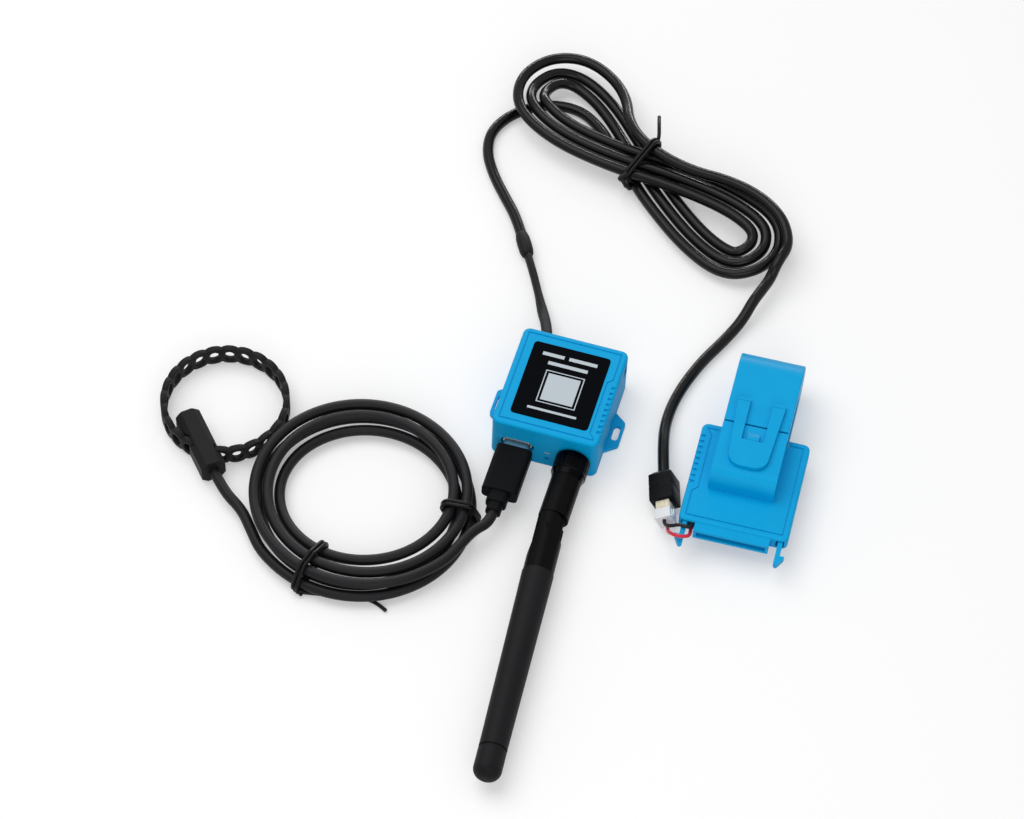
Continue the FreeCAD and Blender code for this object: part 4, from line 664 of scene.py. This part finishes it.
def board_finish():
    """Green solder mask with pale tracks and pads."""
    mask_green = (0.01, 0.09, 0.035)
    track_green = (0.05, 0.2, 0.07)
    finish = Finish("solder_mask", mask_green, 0.35, Coat_Weight=0.4)
    line = finish.node("ShaderNodeTexBrick", {"offset": 0.0}, Vector=finish.place, Scale=420.0)
    mask = Value(finish.tree, line.outputs["Fac"])
    cloud = finish.noise(220.0)
    finish.tint(mask * cloud, mask_green, track_green)
    finish.bump(mask, 0.2, 0.00004)
    return finish


def clear_finish(name, colour, roughness):
    """Milky clear plastic that carries light."""
    finish = Finish(name, colour, roughness, Transmission_Weight=0.35)
    finish.bump(finish.noise(3000.0), 0.1, 0.00002)
    return finish


def wound_finish(name, colour, pitch):
    """Fine enamelled wire in level turns, with painted shade in the grooves between turns."""
    finish = Finish(name, colour, 0.3, Metallic=1.0)
    wave = finish.node("ShaderNodeTexWave", {"bands_direction": "Z"}, Vector=finish.place,
                       Scale=pitch, Distortion=0.6)
    turns = Value(finish.tree, wave.outputs["Fac"])
    # Painted shade: each wave band dims to half the wire's colour in the groove between turns,
    # where shade falls.
    finish.tint(turns, shade(colour, 0.5), colour)
    finish.bump(turns, 0.6, 0.0001)
    return finish


def finishes():
    """Every finish of the set, made once and kept by name."""
    if finishes.kept:
        return finishes.kept
    unit, cable, probe = (settings("sensor_" + part) for part in ("unit", "cables", "probe"))
    finishes.kept.update({
        "case": moulded("case_blue", unit.case_blue, 0.46, 7000.0, 0.00002),
        # Painted light: the clamp's blue is the case's blue made 2% lighter. It is a lit copy of
        # the one plastic that both mouldings share.
        "clamp": moulded("clamp_blue", shade(unit.case_blue, 1.02), 0.38, 7000.0, 0.000012),
        "label": label_finish(),
        "screw": metal("screw_steel", (0.55, 0.55, 0.57), 0.3),
        "shield": metal("shield_steel", (0.62, 0.62, 0.6), 0.28),
        "can": metal("capacitor_can", (0.55, 0.56, 0.58), 0.34),
        "board": board_finish(),
        "black": moulded("black_moulding", (0.012, 0.012, 0.013), 0.38, 6000.0, 0.00002),
        "stem": moulded("hinge_black", shade(unit.whip_black, 0.4), 0.3, 5000.0, 0.000008, 0.05),
        "whip": moulded("whip_rubber", shade(unit.whip_black, 1.3), 0.5, 5200.0, 0.00004),
        "pipe": clear_finish("light_guide", (0.75, 0.78, 0.76), 0.25),
        "brass": metal("plated_brass", (0.72, 0.52, 0.2), 0.25),
        "nut": metal("black_plating", (0.005, 0.005, 0.006), 0.24, (1.0, 40.0, 1.0)),
        "ferrite": moulded("sintered_core", (0.035, 0.035, 0.04), 0.6, 2500.0, 0.00006),
        "bobbin": moulded("bobbin_moulding", (0.62, 0.58, 0.47), 0.45),
        "winding": wound_finish("enamelled_wire", (0.62, 0.22, 0.08), 900.0),
        "block": moulded("connector_black", (0.004, 0.0045, 0.006), 0.33, 5000.0, 0.00001, 0.06),
        "shrink": jacketed("shrink_black", (0.005, 0.005, 0.006), 0.5, 0.16),
        "cream": moulded("cream_nylon", (0.78, 0.71, 0.55), 0.4, 4000.0, 0.00001),
        "white": moulded("white_nylon", (0.80, 0.82, 0.85), 0.35, 4000.0, 0.00001),
        "lead_black": jacketed("lead_black", (0.008, 0.008, 0.008), 0.3),
        "lead_red": jacketed("lead_red", cable.lead_red, 0.3),
        "jacket": jacketed("cable_jacket", shade(cable.jacket_black, 0.85), 0.22, 0.2, 0.08),
        "probe_jacket": jacketed("probe_jacket", shade(cable.jacket_black, 1.3), 0.46, 0.2),
        "tie": jacketed("tie_coating", (0.003, 0.003, 0.003), 0.32, 0.16),
        "plug": moulded("plug_overmould", (0.0035, 0.004, 0.005), 0.5, 5200.0, 0.00003, 0.05),
        "rubber": moulded("probe_rubber", probe.rubber_black, 0.5, 3200.0, 0.00004),
    })
    return finishes.kept


finishes.kept = {}

NODE_FINISHES = {
    "case": "upper_housing bottom_cover reset_button",
    "clamp": "clamp_cover clamp_tray upper_jaw latch_tab snap_leg_left snap_leg_right",
    "label": "face_label",
    "screw": "housing_screws jaw_hinge_pins temperature_sensor",
    "shield": "radio_module usb_port usb_plug_shell",
    "can": "storage_capacitors",
    "board": "main_board winding_terminal",
    "black": "lead_terminal reset_switch",
    "stem": "antenna_stem antenna_knuckle",
    "whip": "whip_sleeve whip_tip",
    "pipe": "status_light_pipe",
    "brass": "antenna_jack antenna_jack_nut whip_radiator",
    "nut": "antenna_nut antenna_hinge_pin",
    "ferrite": "lower_core upper_core",
    "bobbin": "winding_bobbin",
    "winding": "secondary_winding",
    "plug": "usb_plug_body",
    "rubber": "probe_head",
}


class SENSOR_OT_node_finishes(bpy.types.Operator):
    """Give every carried-over solid its finish"""
    bl_idname = "sensor.node_finishes"
    bl_label = "Node Finishes"

    def execute(self, context):
        for key, nodes in NODE_FINISHES.items():
            for name in nodes.split():
                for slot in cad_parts[name].material_slots:
                    slot.material = finishes()[key].material
        return {"FINISHED"}


# The camera, with its azimuth, elevation and roll in degrees and its places in millimetres
CAMERA_ANGLES = (14.252, 55.083, 2.641)
CAMERA_TARGET = Vector((-14.358, -1.819, 0))
CAMERA_DISTANCE = 996.574
FOCAL_SHARE = 3267.235 / 1024
SENSOR_WIDTH = 36.0

# The floor, in metres
FLOOR_REACH = 6.0
FLOOR_DROP = 0.0001
FLOOR_GREY = (0.72, 0.72, 0.72)
FLOOR_GLOW = (0.3, 0.3, 0.3)

# Each lamp's place and size in metres, its share of the light power, and a strip lamp's width
LAMPS = {
    "overhead": ((-0.35, 0.1, 0.85), 0.9, 1.0, None),
    "front_fill": ((0.25, -0.8, 0.55), 0.8, 0.55, None),
    "edge_shine": ((-0.25, 1.15, 0.38), 1.3, 2.2, 0.06),
}


class SENSOR_OT_stage(bpy.types.Operator):
    """Set the camera, the white floor and the soft lights"""
    bl_idname = "sensor.stage"
    bl_label = "Stage"

    def execute(self, context):
        look = settings("sensor_stage")
        self.camera()
        self.floor()
        for name, (place, size, share, strip) in LAMPS.items():
            self.lamp(name, Vector(place), size, look.light_power * share, strip)
        self.room(look.room_light)
        return {"FINISHED"}

    def camera(self):
        azimuth, elevation, roll = (radians(a) for a in CAMERA_ANGLES)
        back = Vector((sin(azimuth) * cos(elevation), -cos(azimuth) * cos(elevation),
                       sin(elevation)))
        place = CAMERA_TARGET * MM + back * CAMERA_DISTANCE * MM
        data = bpy.data.cameras.new("view")
        data.sensor_width = SENSOR_WIDTH
        data.sensor_fit = "HORIZONTAL"
        data.lens = FOCAL_SHARE * SENSOR_WIDTH
        data.clip_start = 0.01
        right = (-back).cross(UP).normalized()
        up = right.cross(-back).normalized()
        side = right * cos(roll) + up * sin(roll)
        top = up * cos(roll) - right * sin(roll)
        turn = Matrix((side, top, back)).transposed().to_4x4()
        camera = new_object("view", data)
        camera.matrix_world = Matrix.Translation(place) @ turn
        bpy.context.scene.camera = camera

    def floor(self):
        corners = [(x * FLOOR_REACH, y * FLOOR_REACH, -FLOOR_DROP) for x, y in SQUARE]
        floor = mesh_piece("floor", corners, [(0, 1, 2, 3)])
        finish = Finish("floor_white", FLOOR_GREY, 0.9, Specular_IOR_Level=0.0,
                        Emission_Strength=1.0)
        shown = seen_plainly(finish.tree)
        finish.set("Emission Color", finish.blend(shown, (0, 0, 0), FLOOR_GLOW))
        floor.data.materials.append(finish.material)

    def lamp(self, name, place, size, power, strip=None):
        """A round lamp, or a narrow strip that only reflections see, for the jackets' thin shine"""
        data = bpy.data.lights.new(name, "AREA")
        data.shape = "DISK"
        data.size = size
        data.energy = power
        lamp = new_object(name, data)
        lamp.matrix_world = (Matrix.Translation(place)
                             @ place.to_track_quat("Z", "Y").to_matrix().to_4x4())
        if strip:
            data.shape = "RECTANGLE"
            data.size_y = strip
            lamp.visible_diffuse = False
            lamp.visible_transmission = False

    def room(self, strength):
        world = bpy.data.worlds.new("room")
        world.use_nodes = True
        tree = world.node_tree
        tree.nodes.clear()
        mix = new_node(tree, "ShaderNodeMixShader")
        even, white = (new_node(tree, "ShaderNodeBackground", Strength=s) for s in (strength, 1.0))
        for slot, value in zip(mix.inputs, (seen_plainly(tree), even.outputs[0], white.outputs[0])):
            feed(tree, slot, value)
        new_node(tree, "ShaderNodeOutputWorld", Surface=mix.outputs[0])
        bpy.context.scene.world = world


class SENSOR_OT_extension_cable(bpy.types.Operator):
    """Lay the clamp's cable: from the shrink sleeve through the tied hank to the connector"""
    bl_idname = "sensor.extension_cable"
    bl_label = "Extension Cable"

    def execute(self, context):
        cable = spline_curve("extension_cable", extension_route(), EXTENSION_DIAMETER / 2 * MM)
        block = connector_block()
        header = boxed_piece("connector_header", HEADER_BOXES, HEADER_EDGE, "cream",
                             "header_cream", "lead_header")
        plug = boxed_piece("connector_plug", PLUG_BOXES, PLUG_EDGE, "white", "plug_white",
                           "lead_plug")
        dress(cable, "jacket", "cable_black", "housing_cable", "cable_hank", "clamp_cable")
        return {"FINISHED"}


CONNECTOR_START = Vector(CLAMP_CABLE_ROUTE[-1])
CONNECTOR_HEADING = Vector((0.29, -0.957, 0.0)).normalized()
CONNECTOR_ROLL = -25.0
BLOCK_HALF = 3.65
BLOCK_NOSE = 1.4
BLOCK_GROOVE = 0.12
BLOCK_RINGS = (
    (0.0, BLOCK_HALF - BLOCK_NOSE), (-1.5, BLOCK_HALF - 0.02), (-5.4, BLOCK_HALF),
    (-5.55, BLOCK_HALF - BLOCK_GROOVE), (-5.7, BLOCK_HALF), (-10.6, BLOCK_HALF))

# Low and high corners of the boxes of the cream header and of the white plug
HEADER_BOXES = (
    ((-2.1, -13.4, -2.5), (2.1, -10.6, 2.5)),
    ((-2.3, -13.2, -1.9), (2.3, -11.6, -0.9)),
    ((-2.3, -13.2, 0.9), (2.3, -11.6, 1.9)),
    ((-0.7, -13.1, -2.75), (0.7, -11.1, 2.75)),
)
PLUG_BOXES = (
    ((-2.4, -17.0, -2.8), (2.4, -13.4, 2.8)),
    ((-2.75, -16.3, -1.5), (2.75, -13.75, 1.5)),
    ((2.4, -15.3, -0.9), (3.1, -13.55, 0.9)),
    ((-2.6, -16.95, -3.0), (2.6, -16.2, 3.0)),
)
BLOCK_EDGE = 0.00028
HEADER_EDGE = 0.00012
PLUG_EDGE = 0.00014


def connector_place():
    """From the connector's own axes (its length along -Y) to the set's, in metres."""
    yaw = atan2(CONNECTOR_HEADING.y, CONNECTOR_HEADING.x) + pi / 2
    return (Matrix.Translation(CONNECTOR_START * MM) @ Matrix.Rotation(yaw, 4, "Z")
            @ Matrix.Rotation(radians(CONNECTOR_ROLL), 4, "Y") @ Matrix.Scale(MM, 4))


def connector_block():
    place = connector_place()
    points = [place @ Vector((x * reach, y, z * reach))
              for y, reach in BLOCK_RINGS for x, z in SQUARE]
    rows, count = len(BLOCK_RINGS), len(SQUARE)
    block = mesh_piece("connector_block", points,
                       end_faces(rows, count) + ring_faces(rows, count), False)
    bevel(block, BLOCK_EDGE, 3, 20.0)
    soften(block)
    dress(block, "block", "connector_black", "lead_connector_block")
    return block


def boxed_piece(name, boxes, edge, key, slot, node):
    """A part of the connector: boxes joined into one mesh, with fine bevelled edges."""
    place = connector_place()
    piece = join_pieces(name, [box_piece("box", low, high, place) for low, high in boxes])
    bevel(piece, edge, 2)
    soften(piece)
    dress(piece, key, slot, node)
    return piece


class SENSOR_OT_probe_cable(bpy.types.Operator):
    """Lay the probe's cable: from the probe head through the tied coil to the plug"""
    bl_idname = "sensor.probe_cable"
    bl_label = "Probe Cable"

    def execute(self, context):
        cable = spline_curve("probe_cable_coiled", probe_route(), PROBE_DIAMETER / 2 * MM)
        dress(cable, "probe_jacket", "probe_cord_grey", "plug_cable", "probe_coil", "probe_cable")
        return {"FINISHED"}


LEAD_HEIGHT = 0.0023
LEAD_TWIST = (0.3, 0.4)

# Profiles of the grommet and of the sleeve's two ends, as distance along and radius in metres
GROMMET_START = Vector((-10.5, 18.2, 7.0))
GROMMET_PROFILE = (
    (0.0, 0.0027), (0.0009, 0.0027), (0.0011, 0.0025), (0.0022, 0.0023),
    (0.0024, 0.0024), (0.0031, 0.00235), (0.0033, 0.0021), (0.0041, 0.0019))
SLEEVE_NEAR = ((0.0, 0.00172), (0.0003, 0.0019), (0.0011, 0.0021), (0.0018, 0.00222))
SLEEVE_MIDDLE = 0.0023
SLEEVE_FAR = ((0.0018, 0.0022), (0.0009, 0.0020), (0.0003, 0.00188), (0.0, 0.0018))


class SENSOR_OT_leads(bpy.types.Operator):
    """Lay the unit's flat lead with its shrink sleeve and the clamp's two thin leads"""
    bl_idname = "sensor.leads"
    bl_label = "Leads"

    def execute(self, context):
        look = settings("sensor_cables")
        line = points_on(metres(UNIT_LEAD_ROUTE))
        section = oval_section(look.lead_width, LEAD_HEIGHT)
        flat = swept("unit_lead_flat", line, section,
                     turn=lambda at: pi / 2 * ramp(at, *LEAD_TWIST))
        dress(flat, "shrink", "cable_black", "housing_lead")
        grommet = lathed("lead_grommet", GROMMET_START * MM, (0, 1, 0), GROMMET_PROFILE)
        dress(grommet, "shrink", "connector_black")
        start, end = metres([UNIT_LEAD_ROUTE[-1], UNIT_CABLE_ROUTE[0]])
        long = (end - start).length
        profile = [*SLEEVE_NEAR, (long / 2, SLEEVE_MIDDLE)]
        profile += [(long - back, radius) for back, radius in SLEEVE_FAR]
        sleeve = lathed("shrink_tube", start, end - start, profile)
        dress(sleeve, "shrink", "connector_black", "shrink_sleeve")
        for colour, route in (("black", BLACK_LEAD_ROUTE), ("red", RED_LEAD_ROUTE)):
            lead = spline_curve("clamp_lead_" + colour, metres(route), LEAD_DIAMETER / 2 * MM, 12)
            dress(lead, "lead_" + colour, "lead_" + colour, colour + "_lead")
        return {"FINISHED"}


# Ties

RIM_POINTS = 28
LOOP_STEP = 0.8
TURN_SHIFT = 0.53
TWIST_STEPS = 14

# The hank's tie, with offsets across the hank, along it and up; the lifts weigh a point's
# height against its place across when the two ends of the wire are looked for. A knot has its
# start, its heading, its length and how far the wires are from its axis
HANK_TIE_START = (-20, -1, 0)
HANK_TIE_GAP = 0.45
NEAR_LIFT, FAR_LIFT = 0.35, 0.6
HANK_KNOT = (0.3, 0, 0.2), (-1, -0.2, -0.25), 2.6, 0.6
NEAR_TAIL = (-1.9, 0, 0), (-3.4, 1.5, 0), (-2.4, 4.2, -1.2)
FAR_TAIL = (0, 0, 0), (1.2, -0.6, 0.8), (3.4, -2.6, 1.6), (7.6, -6.2, 0.4)

# The coil's ties, by their angles in degrees, with offsets round the coil, up and outwards
COIL_TIES = {"coil_tie_right": 6.0, "coil_tie_left": -105.4}
COIL_TIE_GAP = 0.3
COIL_KNOT = (0, 1.1, -0.6), (1, -0.1, 0), 2.2, 0.55
COIL_WIRE_LIFT = 0.1
COIL_TAIL_START = (1.6, 0.5, -0.8)
COIL_TIE_TAIL = [(-48.8, -82.3, 0.75), (-40.0, -80.6, 0.75), (-33.4, -79.6, 0.75),
                 (-29.1, -82.1, 0.8)]


def is_inside(a, b, c):
    """Whether b is on or inside the line from a to c, so that an outline can skip it."""
    return (b[0] - a[0]) * (c[1] - a[1]) - (b[1] - a[1]) * (c[0] - a[0]) <= 0


def convex_outline(points):
    """Counter-clockwise convex outline of flat points."""
    points = sorted(set(points))

    def half(row):
        chain = []
        for point in row:
            while len(chain) > 1 and is_inside(chain[-2], chain[-1], point):
                chain.pop()
            chain.append(point)
        return chain[:-1]

    return half(points) + half(points[::-1])


def strands_through(line, origin, across):
    """Reach and height of each strand that crosses a tie's half plane."""
    normal = Vector((-across.y, across.x, 0))
    hits = []
    for p, q in zip(line, line[1:]):
        dp = (p - origin).dot(normal)
        dq = (q - origin).dot(normal)
        if dp * dq > 0 or dp == dq:
            continue
        at = p + (q - p) * (dp / (dp - dq))
        reach = (at - origin).dot(across)
        if reach > 0:
            hits.append((reach, at.z))
    return hits


def snug_loop(line, origin, across, diameter, gap):
    """Points of a wire drawn round the strands, in millimetres; the origin is on the floor."""
    radius = diameter / 2 + gap + TIE_DIAMETER / 2
    rims = []
    for reach, z in strands_through(line, origin, across):
        for i in range(RIM_POINTS):
            angle = 2 * pi * i / RIM_POINTS
            rims.append((round(reach + radius * cos(angle), 4),
                         round(max(z + radius * sin(angle), TIE_DIAMETER / 2), 4)))
    flat = convex_outline(rims)
    flat.append(flat[0])
    points = []
    for (r0, z0), (r1, z1) in zip(flat, flat[1:]):
        steps = max(1, round(hypot(r1 - r0, z1 - z0) / LOOP_STEP))
        for i in range(steps):
            share = i / steps
            points.append(origin + across * (r0 + (r1 - r0) * share)
                          + UP * (z0 + (z1 - z0) * share))
    return points + [points[0]]


def wire_piece(name, points, sides=10, closed=False):
    return swept(name, points, circle_section(WIRE / 2 * MM, sides), closed)


def double_loop(loop, along):
    """Two turns of wire side by side."""
    return [wire_piece("turn", [(p + along * shift) * MM for p in loop], 12, True)
            for shift in (-WIRE * TURN_SHIFT, WIRE * TURN_SHIFT)]


def twisted_wires(end, axes, knot, turns):
    """Two strands of a tie wound round each other, near an end of its wire."""
    offsets, way, length, spread = knot
    start = placed(end, axes, offsets)
    heading = placed(Vector(), axes, way).normalized()
    side = heading.cross(UP).normalized()
    steps = TWIST_STEPS * turns
    pieces = []
    for phase in (0.0, pi):
        points = []
        for i in range(steps + 1):
            share = i / steps
            angle = phase + 2 * pi * turns * share
            points.append((start + heading * length * share
                           + (side * cos(angle) + UP * sin(angle)) * spread) * MM)
        pieces.append(wire_piece("strand", points))
    return pieces


def wire_tail(points):
    return wire_piece("tail", points_on(metres(points)))


def winding_line(stations):
    """The smooth line of a winding's strands, in millimetres."""
    return [p * 1000 for p in points_on(metres(bend_points(stations)), 8)]


class SENSOR_OT_ties(bpy.types.Operator):
    """Twist the coated wire ties round the hank and the coil"""
    bl_idname = "sensor.ties"
    bl_label = "Ties"

    def execute(self, context):
        self.hank_tie()
        line = winding_line(coil_stations())
        for node, degrees in COIL_TIES.items():
            self.coil_tie(node, line, radians(degrees))
        return {"FINISHED"}

    def hank_tie(self):
        turn = Matrix.Rotation(radians(HANK_TURN), 3, "Z")
        across, along = turn @ Vector((0, 1, 0)), turn @ Vector((1, 0, 0))
        axes = (across, along, UP)
        loop = snug_loop(winding_line(hank_stations()), placed(HANK_CENTRE, axes, HANK_TIE_START),
                         across, EXTENSION_DIAMETER, HANK_TIE_GAP)
        near = min(loop, key=lambda p: p.dot(across) - p.z * NEAR_LIFT)
        far = max(loop, key=lambda p: p.dot(across) + p.z * FAR_LIFT)
        parts = double_loop(loop, along)
        parts += twisted_wires(near, axes, HANK_KNOT, settings("sensor_cables").tie_turns)
        for start, tail in ((near, NEAR_TAIL), (far, FAR_TAIL)):
            parts.append(wire_tail([placed(start, axes, offsets) for offsets in tail]))
        self.finish("hank_wire_tie", parts, "hank_tie")

    def coil_tie(self, node, line, way):
        out = Vector((cos(way), sin(way), 0))
        turned = Vector((-out.y, out.x, 0))
        axes = (turned, UP, out)
        loop = snug_loop(line, COIL_CENTRE, out, PROBE_DIAMETER, COIL_TIE_GAP)
        parts = double_loop(loop, turned)
        if node == "coil_tie_left":
            outer = max(loop, key=lambda p: p.dot(out))
            low = Vector((outer.x, outer.y, WIRE / 2 + COIL_WIRE_LIFT))
            parts += twisted_wires(low, axes, COIL_KNOT, 1)
            parts.append(wire_tail([placed(low, axes, COIL_TAIL_START), *COIL_TIE_TAIL]))
        self.finish(node + "_wire", parts, node)

    def finish(self, name, parts, node):
        tie = join_pieces(name, parts)
        soften(tie, 60.0)
        dress(tie, "tie", "tie_black", node)


# Probe strap: one link repeated round the ring

STRAP_RADIUS = 0.0186
STRAP_THICKNESS = 0.0019
STRAP_LOW = 0.0008
STRAP_HEIGHT = 0.0069
STRAP_CENTRE = (-0.0971, -0.0287, 0.0)
STRAP_EDGE = 0.00022
SEAM = 2e-6
LINK_STEPS = 8

# Shares of a link: the bulge's reach along it, the waist and bulge in its half height, and the
# hole's half length and half height
BULGE_REACH = 0.92
WAIST, BULGE = 0.6, 0.4
HOLE_LENGTH, HOLE_HEIGHT = 0.74, 0.3


def link_points(span):
    """One link of the strap: a scalloped plate with an oval hole, bent to the ring."""
    steps = LINK_STEPS
    rows = [], [], [], []
    holes = []
    middle = STRAP_LOW + STRAP_HEIGHT / 2
    for i in range(steps + 1):
        share = i / steps * 2 - 1
        angle = share * span / 2
        bulge = sqrt(max(0.0, 1 - (abs(share) * BULGE_REACH) ** 2))
        reach = STRAP_HEIGHT / 2 * (WAIST + BULGE * bulge)
        hole = 0.0
        if abs(share) < HOLE_LENGTH:
            hole = STRAP_HEIGHT * HOLE_HEIGHT * sqrt(1 - (share / HOLE_LENGTH) ** 2)
        holes.append(hole)
        for row, offset in zip(rows, (-reach, -hole, hole, reach)):
            row.append((angle, middle + offset))
    points = [Vector((r * cos(angle), r * sin(angle), z))
              for r in (STRAP_RADIUS - STRAP_THICKNESS / 2, STRAP_RADIUS + STRAP_THICKNESS / 2)
              for row in rows for angle, z in row]
    wide = steps + 1
    back = 4 * wide
    faces = []
    for i in range(steps):
        for a, b in ((i, wide + i), (2 * wide + i, 3 * wide + i)):
            faces += [(a, a + 1, b + 1, b), (back + a, back + b, back + b + 1, back + a + 1)]
        for a in (i, 3 * wide + i):
            faces.append((a, back + a, back + a + 1, a + 1))
        if holes[i] or holes[i + 1]:
            for a in (wide + i, 2 * wide + i):
                faces.append((a, a + 1, back + a + 1, back + a))
    return points, faces


def strap_tree(finish):
    """Repeats a link round the vertical axis; count and centre are the tree's inputs."""
    tree = bpy.data.node_groups.new("strap_links", "GeometryNodeTree")
    for name, way, kind in (("Geometry", "INPUT", "Geometry"), ("Link Count", "INPUT", "Int"),
                            ("Centre", "INPUT", "Vector"), ("Geometry", "OUTPUT", "Geometry")):
        tree.interface.new_socket(name, in_out=way, socket_type="NodeSocket" + kind)

    given = new_node(tree, "NodeGroupInput")
    count = Value(tree, given.outputs["Link Count"])
    points = new_node(tree, "GeometryNodePoints", Count=count)
    index = Value(tree, new_node(tree, "GeometryNodeInputIndex").outputs[0])
    turn = new_node(tree, "ShaderNodeCombineXYZ", Z=2 * pi / count * index)
    shape = new_node(tree, "GeometryNodeInstanceOnPoints", Points=points.outputs[0],
                     Instance=given.outputs["Geometry"], Rotation=turn.outputs[0])
    for kind, inputs in (("RealizeInstances", {}), ("MergeByDistance", {"Distance": SEAM}),
                         ("Transform", {"Translation": given.outputs["Centre"]}),
                         ("SetMaterial", {"Material": finish.material})):
        shape = new_node(tree, "GeometryNode" + kind, Geometry=shape.outputs[0], **inputs)
    new_node(tree, "NodeGroupOutput", Geometry=shape.outputs[0])
    return tree


def set_input(modifier, name, value):
    sockets = modifier.node_group.interface.items_tree
    identifier = next(s.identifier for s in sockets if s.name == name and s.in_out == "INPUT")
    modifier[identifier] = value


class SENSOR_OT_probe_strap(bpy.types.Operator):
    """Close the perforated strap through the probe head"""
    bl_idname = "sensor.probe_strap"
    bl_label = "Probe Strap"

    def execute(self, context):
        count = settings("sensor_probe").link_count
        points, faces = link_points(2 * pi / count)
        strap = mesh_piece("perforated_strap", points, faces)
        links = strap.modifiers.new("links", "NODES")
        links.node_group = strap_tree(finishes()["rubber"])
        set_input(links, "Link Count", count)
        set_input(links, "Centre", STRAP_CENTRE)
        settle(strap)
        tidy_normals(strap)
        bevel(strap, STRAP_EDGE, 2, 40.0)
        soften(strap, 50.0)
        dress(strap, "rubber", "probe_rubber", "probe_strap")
        return {"FINISHED"}


class SENSOR_PT_set(bpy.types.Panel):
    """Sizes, colours and pieces of the sensor set"""
    bl_idname = "SENSOR_PT_set"
    bl_label = "Sensor Set"
    bl_space_type = "VIEW_3D"
    bl_region_type = "UI"
    bl_category = "Sensor Set"

    def draw(self, context):
        for group in GROUPS:
            box = self.layout.box()
            look = getattr(context.scene, group)
            for name in look.bl_rna.properties.keys():
                if name not in ("rna_type", "name"):
                    box.prop(look, name)
        for operator in PIECE_OPERATORS:
            self.layout.operator(operator.bl_idname)


GROUPS = {
    "sensor_unit": UnitSettings,
    "sensor_cables": CableSettings,
    "sensor_probe": ProbeSettings,
    "sensor_stage": StageSettings,
}
PIECE_OPERATORS = (
    SENSOR_OT_stage,
    SENSOR_OT_node_finishes,
    SENSOR_OT_extension_cable,
    SENSOR_OT_probe_cable,
    SENSOR_OT_leads,
    SENSOR_OT_ties,
    SENSOR_OT_probe_strap,
)


def register():
    for name, group in GROUPS.items():
        bpy.utils.register_class(group)
        setattr(bpy.types.Scene, name, PointerProperty(type=group))
    for operator in PIECE_OPERATORS:
        bpy.utils.register_class(operator)
    bpy.utils.register_class(SENSOR_PT_set)


def unregister():
    bpy.utils.unregister_class(SENSOR_PT_set)
    for operator in reversed(PIECE_OPERATORS):
        bpy.utils.unregister_class(operator)
    for name, group in GROUPS.items():
        delattr(bpy.types.Scene, name)
        bpy.utils.unregister_class(group)


def main():
    register()
    bpy.context.scene.view_settings.view_transform = "Standard"
    for operator in PIECE_OPERATORS:
        area, name = operator.bl_idname.split(".")
        getattr(getattr(bpy.ops, area), name)()


if __name__ == "__main__":
    main()
